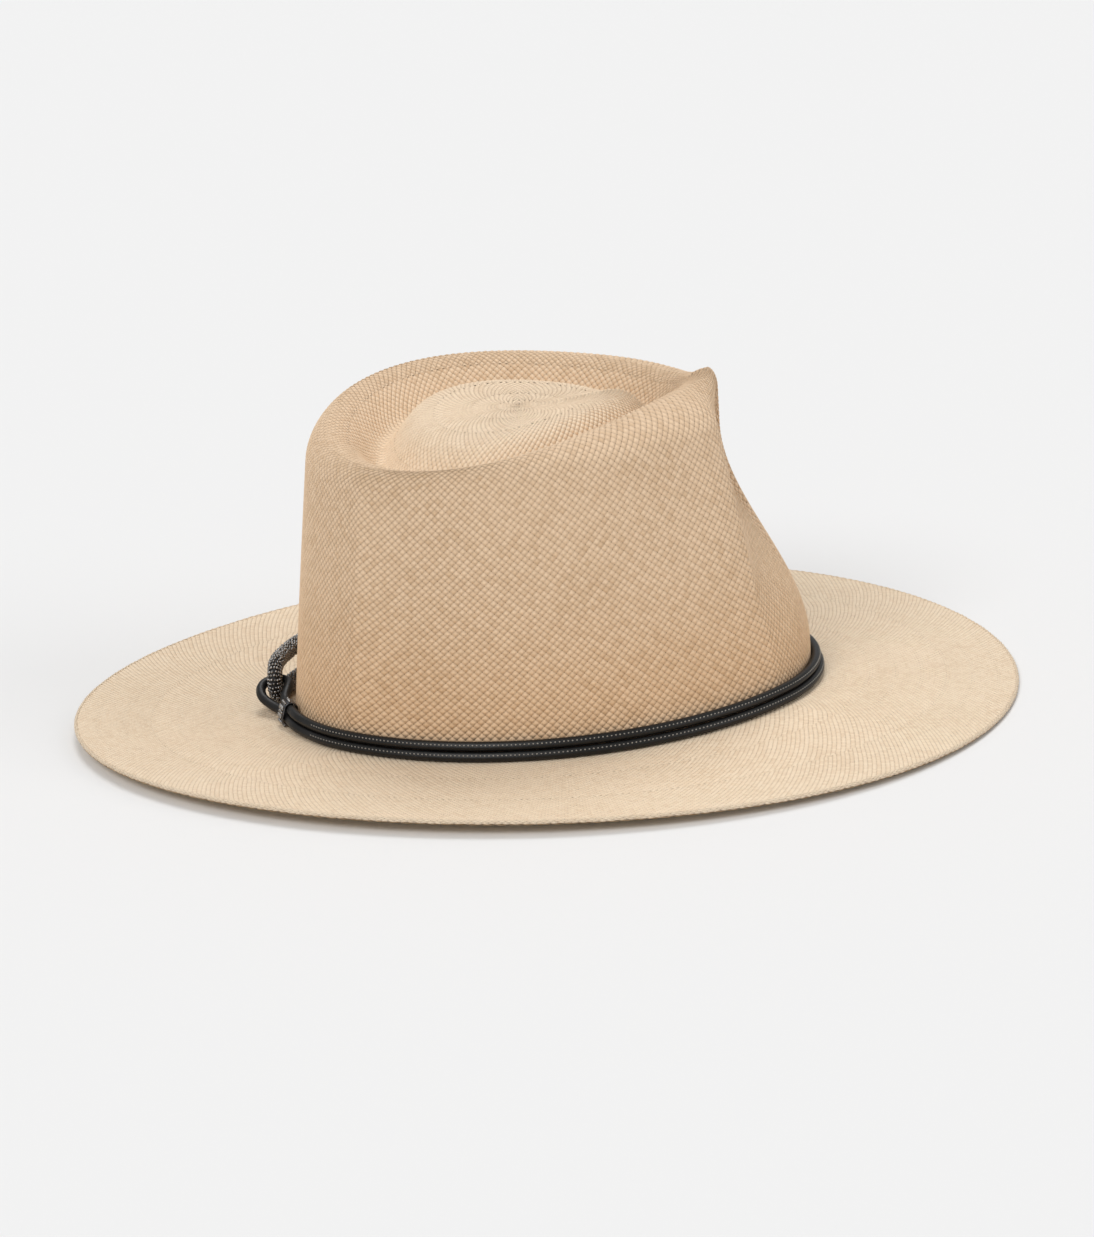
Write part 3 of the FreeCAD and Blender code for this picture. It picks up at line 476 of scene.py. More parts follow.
def meridian(turn, station):
    """The straw's outer skin: station 0 to 1 is the top, 1 to 2 the wall, 2 to 3 the brim."""
    turn, station = np.broadcast_arrays(turn, station)
    top = top_skin(turn, np.clip(station, 0, 1))
    bend_top = BREAK / RIM_BACK_Z
    wall = wall_skin(turn, bend_top + (1 - bend_top) * np.clip(2 - station, 0, 1))
    brim = brim_skin(turn, np.clip((station - BRIM_START) / (3 - BRIM_START), 0, 1))
    bend = break_skin(turn, np.clip((station - 2) / BREAK_STATION, 0, 1))
    point = np.where((station < 1)[..., None], top, wall)
    point = np.where((station > 2)[..., None], bend, point)
    return np.where((station > BRIM_START)[..., None], brim, point)


def skin_normals(turn, station):
    step = 0.004
    around = meridian(turn + step, station) - meridian(turn - step, station)
    along = meridian(turn, station + step) - meridian(turn, station - step)
    normal = np.cross(along, around)
    length = np.linalg.norm(normal, axis=-1, keepdims=True)
    return normal / np.maximum(length, 1e-9)


def even_stations(low, high, spacing):
    """Stations between two limits, about one spacing apart along the skin."""
    fine = np.linspace(low, high, 500)
    turns = whole_round(36)
    points = meridian(turns[:, None], fine[None, :])
    steps = np.linalg.norm(np.diff(points, axis=1), axis=-1).mean(axis=0)
    length = np.concatenate([[0], np.cumsum(steps)])
    count = max(2, int(round(length[-1] / spacing)) + 1)
    return np.interp(np.linspace(0, length[-1], count), length, fine)


# ---------------------------------------------------------------- meshes from grids
def grid_mesh(name, points, uv, wrap_columns=False, wrap_rows=False):
    """Mesh from rows and columns of points in millimetres, with its own map called weave."""
    rows, columns = points.shape[:2]
    row_faces = rows if wrap_rows else rows - 1
    column_faces = columns if wrap_columns else columns - 1
    row, column = np.meshgrid(np.arange(row_faces), np.arange(column_faces), indexing="ij")
    corners = [(row, column), (row + 1, column), (row + 1, column + 1), (row, column + 1)]
    loops = np.stack([(a % rows) * columns + (b % columns) for a, b in corners], -1).reshape(-1)
    maps = np.stack([np.stack([uv[0](b), uv[1](a)], -1) for a, b in corners], -2).reshape(-1)
    mesh = bpy.data.meshes.new(name)
    mesh.vertices.add(rows * columns)
    mesh.vertices.foreach_set("co", (points * MM).reshape(-1).astype(np.float32))
    mesh.loops.add(len(loops))
    mesh.loops.foreach_set("vertex_index", loops.astype(np.int32))
    faces = len(loops) // 4
    mesh.polygons.add(faces)
    mesh.polygons.foreach_set("loop_start", np.arange(0, 4 * faces, 4, dtype=np.int32))
    mesh.update(calc_edges=True)
    layer = mesh.uv_layers.new(name="weave")
    layer.data.foreach_set("uv", maps.astype(np.float32))
    mesh.polygons.foreach_set("use_smooth", np.ones(faces, dtype=bool))
    mesh.validate()
    return mesh


def map_steps(per_column, per_row):
    """The two maps that grid_mesh asks for, in even steps."""
    return lambda column: column * per_column, lambda row: row * per_row


def tidy_normals(mesh):
    work = bmesh.new()
    work.from_mesh(mesh)
    bmesh.ops.remove_doubles(work, verts=work.verts, dist=1e-6)
    bmesh.ops.recalc_face_normals(work, faces=work.faces)
    work.to_mesh(mesh)
    work.free()


def piece(name, mesh, material, body, slot, *nodes):
    item = add_object(name, mesh)
    if not mesh.materials:
        mesh.materials.append(material)
    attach(item, body)
    if nodes:
        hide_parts(*nodes)
    return item


def weave_height(u, v):
    """Rise of the weave above its mean, from -1 in the holes to 1 on top of a straw."""
    p, q = (u + v) / 2, (u - v) / 2
    return 0.5 * (np.cos(2 * math.pi * p) + np.cos(2 * math.pi * q))


WHOLE_TURN = (0.0, 2 * math.pi)
# stations where the painted light of the crown's top fades out towards the rim
TOP_BLEND_FROM, TOP_BLEND_OVER = 0.96, 0.3


def straw_patch(name, low, high, columns, spacing, material, finer=1, relief=0.2, inside=False,
                turns=WHOLE_TURN, first_row=0.0):
    """Part of the straw skin between two stations, its mesh lined up with the weave."""
    stations = even_stations(low, high, spacing / finer)
    start, stop = turns
    whole = turns == WHOLE_TURN
    count = int(columns * (stop - start) / (2 * math.pi)) * finer
    angles = start + (stop - start) * np.arange(count + (0 if whole else 1)) / count
    turn, station = np.meshgrid(angles, stations)
    normal = skin_normals(turn, station)
    point = meridian(turn, station)
    offset = columns * start / (2 * math.pi)
    row, column = np.meshgrid(np.arange(len(stations)), np.arange(len(angles)), indexing="ij")
    rise = relief * weave_height(offset + column / finer, first_row + row / finer)
    last = len(stations) - 1
    if inside:
        point = (point - normal * (STRAW + rise)[..., None])[::-1]
        uv = (lambda b: offset + b / finer, lambda a: first_row + (last - a) / finer)
    else:
        point = point + normal * rise[..., None]
        uv = (lambda b: offset + b / finer, lambda a: first_row + a / finer)
    mesh = grid_mesh(name, point, uv, wrap_columns=whole)
    # share of the top's painted light, fading out towards the rim and wall
    if not inside:
        inner = mesh.attributes.new("inner", "FLOAT", "POINT")
        blend = smooth_step((TOP_BLEND_FROM - station) / TOP_BLEND_OVER)
        inner.data.foreach_set("value", blend.reshape(-1).astype(np.float32))
    return piece(name, mesh, material, "hat", "straw", "straw_body")


# ---------------------------------------------------------------- straw crown and brim
WEAVE_ROUND = 364       # half cells round the crown's wall
# millimetres from row to row
CROWN_STEP, TOP_STEP, BRIM_STEP, UNDER_STEP, INSIDE_STEP = 1.52, 1.45, 1.15, 1.7, 2.0
UNDER_ROUND, INSIDE_ROUND = 460, 300
RIM_INSIDE = 0.9
BUTTON_HOLE, BUTTON_EDGE = 0.0005, 0.014
# where each ring of straw starts and ends, and its half cells round
TOP_RINGS = [(0.66, RIM_INSIDE, 300), (0.46, 0.66, 232), (0.28, 0.46, 160), (0.14, 0.28, 96),
             (0.04, 0.14, 48), (BUTTON_EDGE, 0.04, 20)]
BRIM_RINGS = [(BRIM_START, 2.32, 560), (2.32, 2.66, 720), (2.66, 3.0, 920)]


def make_straw(crown_straw, top_straw, brim_straw, under_straw):
    start = len(even_stations(RIM_INSIDE, BRIM_START, CROWN_STEP)) - 1
    for quarter in range(4):
        turns = (quarter * math.pi / 2, (quarter + 1) * math.pi / 2)
        straw_patch("crown_wall_%d" % quarter, RIM_INSIDE, BRIM_START, WEAVE_ROUND, CROWN_STEP,
                    crown_straw, finer=3, turns=turns, relief=0.24)
    for index, (low, high, columns) in enumerate(TOP_RINGS):
        straw_patch("crown_top_%d" % index, low, high, columns, TOP_STEP, top_straw, finer=3, relief=0.19)
    centre = grid_mesh("crown_button", centre_points(), map_steps(0.004, 0.02), wrap_columns=True)
    piece("crown_button", centre, top_straw, "hat", "straw", "straw_body")
    for index, (low, high, columns) in enumerate(BRIM_RINGS):
        straw_patch("brim_top_%d" % index, low, high, columns, BRIM_STEP, brim_straw, relief=0.08,
                    first_row=start)
        start += len(even_stations(low, high, BRIM_STEP)) - 1
    straw_patch("brim_under", 2.0, 3.0, UNDER_ROUND, UNDER_STEP, under_straw, relief=0.06, inside=True)
    straw_patch("crown_inside", 0.04, 2.0, INSIDE_ROUND, INSIDE_STEP, under_straw, relief=0.08, inside=True)
    make_brim_edge(brim_straw)


def centre_points():
    turns = whole_round(48)
    turn, share = np.meshgrid(turns, np.linspace(BUTTON_HOLE, BUTTON_EDGE, 3))
    return meridian(turn, share)


def frames_along(points, upright):
    """Tangents of a closed path, and two directions across, carried along without turning about it."""
    tangent = np.roll(points, -1, 0) - np.roll(points, 1, 0)
    tangent = unit(tangent)
    side = np.zeros_like(points)
    side[0] = upright - tangent[0] * np.dot(upright, tangent[0])
    side[0] /= np.linalg.norm(side[0])
    for index in range(1, len(points)):
        carried = side[index - 1] - tangent[index] * np.dot(side[index - 1], tangent[index])
        side[index] = carried / np.linalg.norm(carried)
    return tangent, side, np.cross(tangent, side)


# the braid on the brim's edge: rows, columns, waves round the hat, and sizes in millimetres
BRAID_ROWS, BRAID_COLUMNS, BRAID_WAVES, BRAID_TWIST = 2200, 12, 330, 2
BRAID_R, BRAID_RIPPLE, BRAID_IN, BRAID_UP = 0.84, 0.12, 0.35, 0.26
BRAID_WIDE, BRAID_TALL = 0.95, 0.98
BRAID_BUMPS, BRAID_BUMP, BRAID_BUMP_MOST = 260, 0.05, 0.09


def make_brim_edge(material):
    """The straw ends woven back along the edge, as a narrow uneven braid."""
    turn = whole_round(BRAID_ROWS)
    edge = meridian(turn, 3.0)
    inward = meridian(turn, 2.97) - edge
    inward = unit(inward)
    middle = edge + inward * BRAID_IN - np.array([0, 0, STRAW / 2 - BRAID_UP])
    around = whole_round(BRAID_COLUMNS)
    generator = np.random.default_rng(5)
    bumps = generator.normal(0, BRAID_BUMP, BRAID_BUMPS)
    bumps = np.clip(bumps, -BRAID_BUMP_MOST, BRAID_BUMP_MOST)
    uneven = np.interp(np.arange(BRAID_ROWS), np.linspace(0, BRAID_ROWS, BRAID_BUMPS), bumps)
    phase = turn[:, None] * BRAID_WAVES + around[None, :] * BRAID_TWIST
    radius = BRAID_R + BRAID_RIPPLE * np.sin(phase) + uneven[:, None]
    up = np.array([0, 0, 1.0])
    point = (middle[:, None, :]
             - inward[:, None, :] * (radius * np.cos(around))[..., None] * BRAID_WIDE
             + up * (radius * np.sin(around))[..., None] * BRAID_TALL)
    mesh = grid_mesh("brim_edge", point, map_steps(0.9, 0.42), True, True)
    piece("brim_edge", mesh, material, "hat", "straw", "straw_body")


# ---------------------------------------------------------------- band of rolled leather cord
CORD_R = 1.95
BAND_GAP = 0.45
LOWER_OUT = 1.1
STRAND_UP = math.sqrt((2 * CORD_R + 0.1) ** 2 - LOWER_OUT ** 2)
STRANDS = {"lower": (CORD_R + BAND_GAP + LOWER_OUT, CORD_R + BAND_GAP),
           "upper": (CORD_R + BAND_GAP, CORD_R + BAND_GAP + STRAND_UP)}
HOOK_REACH, HOOK_LEAD = 48.5, 7.0
STRAND_SAMPLES = 900
CORD_STEP, CORD_COLUMNS = 0.56, 20
WRINKLE, WRINKLE_LONG, WRINKLE_COLUMNS = 0.006, 5, 4
SEAM_OUT, SEAM_UP, SEAM_DEEP, SEAM_TURN = 0.86, 0.5, 0.22, 0.2
LIP_RISE, LIP_AT, LIP_TURN = 0.05, 0.55, 0.25
STITCH_EVERY, STITCH_SIZE, STITCH_SUNK = 3, (0.36, 0.4, 0.22), 0.08
KEEPER_START, KEEPER_END, KEEPER_OUT, KEEPER_UP = 13.0, 30.5, 1.6, 1.2
LINK_NEAR, LINK_FAR = math.radians(166), math.radians(133)
LINK_OUT, LINK_BEND, LINK_LIFT = 7.5, 6.8, 4.2
# how the cord goes round the link's end: along the foot, out from it, and up
HOOK_TURN = [(35.2, 9.4, 5.0), (39.0, 13.6, 7.6), (44.8, 13.9, 10.4), (48.6, 8.2, 11.4),
             (45.2, 2.3, 11.2), (39.2, 2.3, 10.4), (34.4, 3.6, 8.8)]
FAR_SIDE = math.atan2((END_R + LINK_OUT) * math.sin(LINK_FAR) + SIDE_Y,
                      (END_R + LINK_OUT) * math.cos(LINK_FAR) - END_X)
RIGHT_START = LINK_NEAR + HOOK_REACH / END_R
LEFT_START = FAR_SIDE - HOOK_REACH / SIDE_R


def beside_crown(side, along, out, height):
    if side == "right":
        turn, radius = RIGHT_START - along / END_R, END_R + out
        return np.array([-END_X + radius * math.cos(turn), radius * math.sin(turn), height])
    turn, radius = LEFT_START + along / SIDE_R, SIDE_R + out
    return np.array([radius * math.cos(turn), -SIDE_Y + radius * math.sin(turn), height])


def smooth_curve(corners, samples=14):
    """Quadratic spline that keeps to the middle of each run of its corners."""
    corners = np.array(corners)
    middles = (corners[:-1] + corners[1:]) / 2
    middles[0], middles[-1] = corners[0], corners[-1]
    parts = []
    for start, corner, stop in zip(middles[:-1], corners[1:-1], middles[1:]):
        share = np.linspace(0, 1, samples, endpoint=False)[:, None]
        parts.append((1 - share) ** 2 * start + 2 * share * (1 - share) * corner + share ** 2 * stop)
    return np.concatenate(parts + [middles[-1:]])


def hook(side):
    """From the end of the lower strand, through the keeper and the link, to the upper strand."""
    ends = {}
    for name, (out, height) in STRANDS.items():
        start = beside_crown(side, 0, out, height)
        way = beside_crown(side, 0.01, out, height) - beside_crown(side, -0.01, out, height)
        way = unit(way)
        first, last = (beside_crown(side, along, out + KEEPER_OUT, height + KEEPER_UP)
                       for along in (KEEPER_START, KEEPER_END))
        ends[name] = [start, start + way * HOOK_LEAD, first, (first + last) / 2, last]
    turn = [beside_crown(side, *point) for point in HOOK_TURN]
    return smooth_curve(ends["lower"] + turn + ends["upper"][::-1])


def strand(name):
    out, height = STRANDS[name]
    normal = np.linspace(RIGHT_START - 2 * math.pi, LEFT_START, STRAND_SAMPLES)
    x, y = oval(normal, out)
    return np.stack([x, y, 0 * x + height], -1)


def evenly(points, spacing):
    """The same closed path with its points evenly spaced, and its length."""
    points = np.concatenate([points, points[:1]])
    steps = np.linalg.norm(np.diff(points, axis=0), axis=1)
    length = np.concatenate([[0], np.cumsum(steps)])
    at = np.linspace(0, length[-1], int(length[-1] / spacing), endpoint=False)
    return np.stack([np.interp(at, length, points[:, axis]) for axis in range(3)], -1), length[-1]


def foot_frame(points):
    return on_foot(points[..., 0], points[..., 1], points[..., 2])


def tube(points, side, across, radius, angle):
    """Grid of rows along a path and columns round it; radius and angle may change over the grid."""
    angle = np.broadcast_to(angle, (len(points), angle.shape[-1]))
    ring = np.cos(angle)[..., None] * side[:, None, :] + np.sin(angle)[..., None] * across[:, None, :]
    return points[:, None, :] + ring * np.broadcast_to(radius, angle.shape)[..., None]


def make_cord(leather, thread):
    loop = np.concatenate([hook("right")[:-1], strand("upper")[:-1],
                           hook("left")[::-1][:-1], strand("lower")[::-1][:-1]])
    path, length = evenly(loop, CORD_STEP)
    tangent, side, across = frames_along(path, np.array([0, 0, 1.0]))
    flat = np.abs(tangent[:, 2]) < 1e-3
    level = np.zeros(len(path), dtype=bool)
    for out, height in STRANDS.values():
        level |= np.abs(path[:, 2] - height) < 0.05
    outward = path * np.array([1 / FOOT_LONG ** 2, 1 / FOOT_WIDE ** 2, 0])
    outward = unit(outward)
    seam_way = outward * SEAM_OUT + np.array([0, 0, SEAM_UP])
    seam = np.unwrap(np.arctan2((seam_way * across).sum(1), (seam_way * side).sum(1)))
    around = whole_round(CORD_COLUMNS)
    generator = np.random.default_rng(11)
    coarse = generator.normal(0, 1, (int(length / WRINKLE_LONG), CORD_COLUMNS // WRINKLE_COLUMNS))
    coarse = np.repeat(coarse, WRINKLE_COLUMNS, axis=1)
    at = np.arange(len(path)) * CORD_STEP
    knots = np.linspace(0, length, len(coarse))
    wrinkle = np.stack([np.interp(at, knots, column) for column in coarse.T], 1)
    away = np.minimum(around, 2 * math.pi - around)[None, :]
    groove = SEAM_DEEP * bell(away / SEAM_TURN) - LIP_RISE * bell((away - LIP_AT) / LIP_TURN)
    radius = CORD_R * (1 + WRINKLE * wrinkle) - groove
    # the grid turns with the seam, so the groove stays on one column
    points = tube(path, side, across, radius, seam[:, None] + around[None, :])
    mesh = grid_mesh("cord_leather", foot_frame(points), map_steps(2 * math.pi / CORD_COLUMNS, CORD_STEP),
                     True, True)
    piece("cord_leather", mesh, leather, "band", "cord_leather", "cord_cover")
    stitched = np.nonzero(flat & level)[0][::STITCH_EVERY]
    normal = np.cos(seam)[:, None] * side + np.sin(seam)[:, None] * across
    place = path[stitched] + normal[stitched] * (CORD_R - STITCH_SUNK)
    repeat("cord_stitches", foot_frame(place), tangent[stitched], normal[stitched], STITCH_SIZE, 1,
           thread, "band", "cord_stitching", "cord_thread")


# ---------------------------------------------------------------- what repeats
def scatter_tree(name, material):
    """Puts one small rounded body on every point, turned and sized by the point's attributes."""
    tree = bpy.data.node_groups.new(name, "GeometryNodeTree")
    for label, way, kind in (("Geometry", "INPUT", "Geometry"), ("Roundness", "INPUT", "Int"),
                             ("Size Spread", "INPUT", "Float"), ("Seed", "INPUT", "Int"),
                             ("Geometry", "OUTPUT", "Geometry")):
        tree.interface.new_socket(label, in_out=way, socket_type="NodeSocket" + kind)
    given, result, body, place, join, finish, turn, size, euler, spread, low, high, scale = (
        tree.nodes.new(kind) for kind in (
            "NodeGroupInput", "NodeGroupOutput", "GeometryNodeMeshIcoSphere",
            "GeometryNodeInstanceOnPoints", "GeometryNodeRealizeInstances", "GeometryNodeSetMaterial",
            "GeometryNodeInputNamedAttribute", "GeometryNodeInputNamedAttribute",
            "FunctionNodeEulerToRotation", "FunctionNodeRandomValue", "ShaderNodeMath",
            "ShaderNodeMath", "ShaderNodeVectorMath"))
    finish.inputs["Material"].default_value = material
    body.inputs["Radius"].default_value = 1.0
    for node, attribute in ((turn, "turn"), (size, "size")):
        node.data_type = "FLOAT_VECTOR"
        node.inputs["Name"].default_value = attribute
    low.operation, high.operation, scale.operation = "SUBTRACT", "ADD", "SCALE"
    for node in (low, high):
        node.inputs[0].default_value = 1.0
        tree.links.new(given.outputs["Size Spread"], node.inputs[1])
    for start, output, stop, socket in (
            (given, "Roundness", body, "Subdivisions"), (low, 0, spread, 2), (high, 0, spread, 3),
            (given, "Seed", spread, "Seed"), (size, 0, scale, 0), (spread, 1, scale, "Scale"),
            (turn, 0, euler, 0), (given, "Geometry", place, "Points"), (body, 0, place, "Instance"),
            (euler, 0, place, "Rotation"), (scale, 0, place, "Scale"), (place, 0, join, 0),
            (join, 0, finish, 0), (finish, 0, result, 0)):
        tree.links.new(start.outputs[output], stop.inputs[socket])
    return tree


def repeat(name, places, ways, normals, size, roundness, material, body, slot, *nodes, spread=0.04):
    """Small bodies at places in millimetres, their long axes along ways."""
    mesh = bpy.data.meshes.new(name + "_points")
    mesh.vertices.add(len(places))
    mesh.vertices.foreach_set("co", (places * MM).reshape(-1).astype(np.float32))
    ways = ways / np.linalg.norm(ways, axis=1, keepdims=True)
    third = np.cross(ways, normals)
    third = unit(third)
    up = np.cross(third, ways)
    pitch = np.arctan2(-ways[:, 2], np.hypot(ways[:, 0], ways[:, 1]))
    yaw = np.arctan2(ways[:, 1], ways[:, 0])
    roll = np.arctan2(third[:, 2], up[:, 2])
    turn = mesh.attributes.new("turn", "FLOAT_VECTOR", "POINT")
    turn.data.foreach_set("vector", np.stack([roll, pitch, yaw], 1).reshape(-1).astype(np.float32))
    sizes = mesh.attributes.new("size", "FLOAT_VECTOR", "POINT")
    sizes.data.foreach_set("vector", np.tile(np.array(size) * MM, len(places)).astype(np.float32))
    points = add_object(name + "_points", mesh)
    modifier = points.modifiers.new("scatter", "NODES")
    modifier.node_group = scatter_tree(name + "_tree", material)
    wanted = {"Roundness": roundness, "Size Spread": spread, "Seed": 3}
    for item in modifier.node_group.interface.items_tree:
        if item.in_out == "INPUT" and item.name in wanted:
            modifier[item.identifier] = wanted[item.name]
    bpy.context.view_layer.update()
    ready = points.evaluated_get(bpy.context.evaluated_depsgraph_get())
    result = bpy.data.meshes.new_from_object(ready)
    result.name = name
    bpy.data.objects.remove(points)
    result.polygons.foreach_set("use_smooth", np.ones(len(result.polygons), dtype=bool))
    return piece(name, result, material, body, slot, *nodes)


# ---------------------------------------------------------------- link and keepers
LINK_THICK, LINK_TALL = 2.5, 3.05          # half sizes of the sleeve under the beads
BEAD_STEP, BEADS_ROUND, BEAD_SIZE, BEAD_RISE = 1.16, 16, (0.58, 0.6, 0.6), 0.08


def link_bar(angle, height):
    """Points on the link's bars, which bend round the end of the crown."""
    bend = END_R + LINK_OUT
    return np.stack([-END_X + bend * np.cos(angle), bend * np.sin(angle), height + 0 * angle], -1)


def link_path():
    """Middle line of the oblong link: two bars and two round ends."""
    bar = np.linspace(LINK_FAR, LINK_NEAR, 60)
    ends = []
    half = np.linspace(-math.pi / 2, math.pi / 2, 32)[1:-1]
    for angle, sign in ((LINK_NEAR, 1), (LINK_FAR, -1)):
        middle = link_bar(np.array(angle), LINK_LIFT + LINK_BEND)
        along = np.array([-math.sin(angle), math.cos(angle), 0]) * sign
        ends.append(middle + along * (LINK_BEND * np.cos(half))[:, None]
                    + np.array([0, 0, 1.0]) * (LINK_BEND * np.sin(half))[:, None])
    upper_bar = link_bar(bar[::-1], LINK_LIFT + 2 * LINK_BEND)
    return np.concatenate([link_bar(bar, LINK_LIFT), ends[0], upper_bar, ends[1][::-1]])


def link_reach(angle, more):
    """From the link's middle line to its oval surface, grown by a little more."""
    return 1 / np.sqrt((np.cos(angle) / (LINK_THICK + more)) ** 2
                       + (np.sin(angle) / (LINK_TALL + more)) ** 2)


def make_link(backing, beads):
    """Beaded link: a stuffed sleeve, taller than it is thick, closely covered in small beads."""
    path = evenly(link_path(), BEAD_STEP)[0]
    tangent = np.roll(path, -1, 0) - np.roll(path, 1, 0)
    tangent = unit(tangent)
    side = path - np.array([-END_X, 0, 0])
    side[:, 2] = 0
    side -= tangent * (side * tangent).sum(1, keepdims=True)
    side = unit(side)
    across = np.cross(tangent, side)
    around = whole_round(24)
    skin = tube(path, side, across, link_reach(around, 0.0), around)
    mesh = grid_mesh("link_backing", foot_frame(skin), map_steps(0.8, 1.13), True, True)
    cover = piece("link_backing", mesh, backing, "band", "beads", "link_beads")
    count = BEADS_ROUND
    generator = np.random.default_rng(2)
    spots, ways, normals = [], [], []
    for row in range(len(path)):
        angle = 2 * math.pi * (np.arange(count) + 0.5 * (row % 2)) / count
        angle = angle + generator.normal(0, 0.06, count)
        out = np.cos(angle)[:, None] * side[row] + np.sin(angle)[:, None] * across[row]
        rise = link_reach(angle, BEAD_RISE) + generator.normal(0, 0.05, count)
        shift = generator.normal(0, 0.1, count)
        spots.append(path[row] + out * rise[:, None] + tangent[row] * shift[:, None])
        ways.append(np.cross(out, tangent[row]))
        normals.append(out)
    repeat("link_bead_rows", foot_frame(np.concatenate(spots)), np.concatenate(ways),
           np.concatenate(normals), BEAD_SIZE, 2, beads, "band", "beads", "link_beads", spread=0.08)


KEEPER_HALF, KEEPER_INNER, KEEPER_WALL, KEEPER_LONG = CORD_R + 0.05, CORD_R + 0.3, 0.7, 5.5
# along the ring as a share of its length, and out as a share of its wall
KEEPER_PROFILE = [(-0.5, 0.12), (-0.42, 0.0), (0.42, 0.0), (0.5, 0.12),
                  (0.5, 0.85), (0.4, 1.0), (-0.4, 1.0), (-0.5, 0.85)]
KEEPER_BEAD_SIZE, KEEPER_BEAD_RISE, KEEPER_BEAD_STEP = (0.62, 0.62, 0.62), 0.28, 1.3


def make_keeper(side, metal, beads, axis):
    """Ring of the keeper with its rows of beads, on its own body."""
    low, high = (np.array(corner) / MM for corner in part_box("keeper_%s_ring" % side))
    middle = (low + high) / 2
    along = np.array(axis) / np.linalg.norm(axis)
    outward = np.cross(along, [0, 0, 1.0]) * (1 if side == "left" else -1)
    outward = unit(outward)
    if np.dot(outward, middle - np.array([FOOT_FORWARD, 0, middle[2]])) < 0:
        outward = -outward
    across = np.array([0, 0, 1.0]) * STRAND_UP - outward * LOWER_OUT
    across = unit(across)
    facing = outward - across * np.dot(outward, across)
    facing = unit(facing)
    half = KEEPER_HALF
    bend = np.linspace(0, math.pi, 15)
    ring_x = np.concatenate([np.cos(bend), -np.cos(bend)])
    ring_y = np.concatenate([np.sin(bend), -np.sin(bend)])
    lift = np.repeat([half, -half], len(bend))
    rows = []
    for place, depth in KEEPER_PROFILE:
        reach = KEEPER_INNER + KEEPER_WALL * depth
        flat = facing * (ring_x * reach)[:, None] + across * (ring_y * reach + lift)[:, None]
        rows.append(middle + flat + along * place * KEEPER_LONG)
    points = np.stack(rows)
    mesh = grid_mesh("keeper_" + side, points, map_steps(0.5, 0.5), True, True)
    tidy_normals(mesh)
    body = "keeper_" + side
    piece("keeper_%s_band" % side, mesh, metal, body, "keeper_metal", "keeper_%s_ring" % side)
    spots, ways, normals = [], [], []
    reach = KEEPER_INNER + KEEPER_WALL + KEEPER_BEAD_RISE
    for row in range(4):
        shift = along * (row - 1.5) * KEEPER_BEAD_STEP
        for angle in np.linspace(-1.25, 1.25, 5):
            for lifted in (-1, 1):
                if angle * lifted < 0:
                    continue
                out = facing * math.cos(angle) + across * math.sin(angle)
                spots.append(middle + out * reach + across * half * lifted + shift)
                ways.append(along)
                normals.append(out)
        for height in (-1.2, 0.0, 1.2):
            spots.append(middle + facing * reach + across * height * 1.05 + shift)
            ways.append(along)
            normals.append(facing)
    repeat("keeper_%s_bead_rows" % side, np.array(spots), np.array(ways), np.array(normals),
           KEEPER_BEAD_SIZE, 2, beads, body, "beads", "keeper_%s_beads" % side, spread=0.06)


# ---------------------------------------------------------------- inside the crown
BAND_LIFT, BAND_TALL, BAND_THICK, BAND_LEAN = 2.6, 26.0, 0.9, 7.0
LINING_OUT = -(STRAW + 0.6)
BAND_SAMPLES, BAND_GAP_HALF, BAND_WAVE, BAND_WAVES = 420, 0.2, 0.12, 9
SEWN_COUNT, SEWN_UP, SEWN_SIZE = 132, 1.4, (1.5, 0.22, 0.22)
BOW_REACH, BOW_DEPTH, BOW_HALF, BOW_SAG = 10.3, 0.765, 5.0, 0.12
KNOT_DEEP, KNOT_TALL, KNOT_HALF, KNOT_BULGE = 1.15, 2.3, 1.9, 0.12
RIBBON_THICK, TAB_THICK, TAB_CURL = 0.00022, 0.00028, 0.25


def make_sweatband(leather, thread, ribbon, cloth):
    gap = BAND_GAP_HALF / END_R
    normal = np.linspace(-math.pi + gap, math.pi - gap, BAND_SAMPLES)
    rise = np.linspace(0, 1, 14)
    inner = [(BAND_THICK, share) for share in rise]
    outer = [(0.0, share) for share in rise[::-1]]
    profile = inner + [(BAND_THICK * 0.8, 1.012), (BAND_THICK * 0.2, 1.012)] + outer
    profile += [(BAND_THICK * 0.2, -0.012), (BAND_THICK * 0.8, -0.012)]
    rows = []
    for depth, share in profile:
        wave = BAND_WAVE * np.sin(normal * BAND_WAVES + 1.0) * share
        out = LINING_OUT - depth - BAND_LEAN * share + wave
        x, y = oval(normal, out)
        rows.append(on_foot(x, y, 0 * x + BAND_LIFT + BAND_TALL * share))
    points = np.stack(rows)[::-1]
    mesh = grid_mesh("sweatband_leather", points, map_steps(1.2, 2.0), False, True)
    tidy_normals(mesh)
    piece("sweatband_leather", mesh, leather, "hat", "sweatband_leather", "sweatband")
    angle = 2 * math.pi * (np.arange(SEWN_COUNT) + 0.5) / SEWN_COUNT
    lean = BAND_LEAN * SEWN_UP / BAND_TALL
    x, y = oval(angle, LINING_OUT - BAND_THICK - lean - 0.05)
    place = on_foot(x, y, 0 * x + BAND_LIFT + SEWN_UP)
    way = np.stack([-np.sin(angle), np.cos(angle), 0 * angle], -1)
    up = np.stack([-np.cos(angle), -np.sin(angle), 0 * angle], -1)
    repeat("sweatband_thread", place, way, up, SEWN_SIZE, 2, thread, "hat", "thread",
           "sweatband_stitches")
    make_bow(ribbon)
    make_tab(cloth)


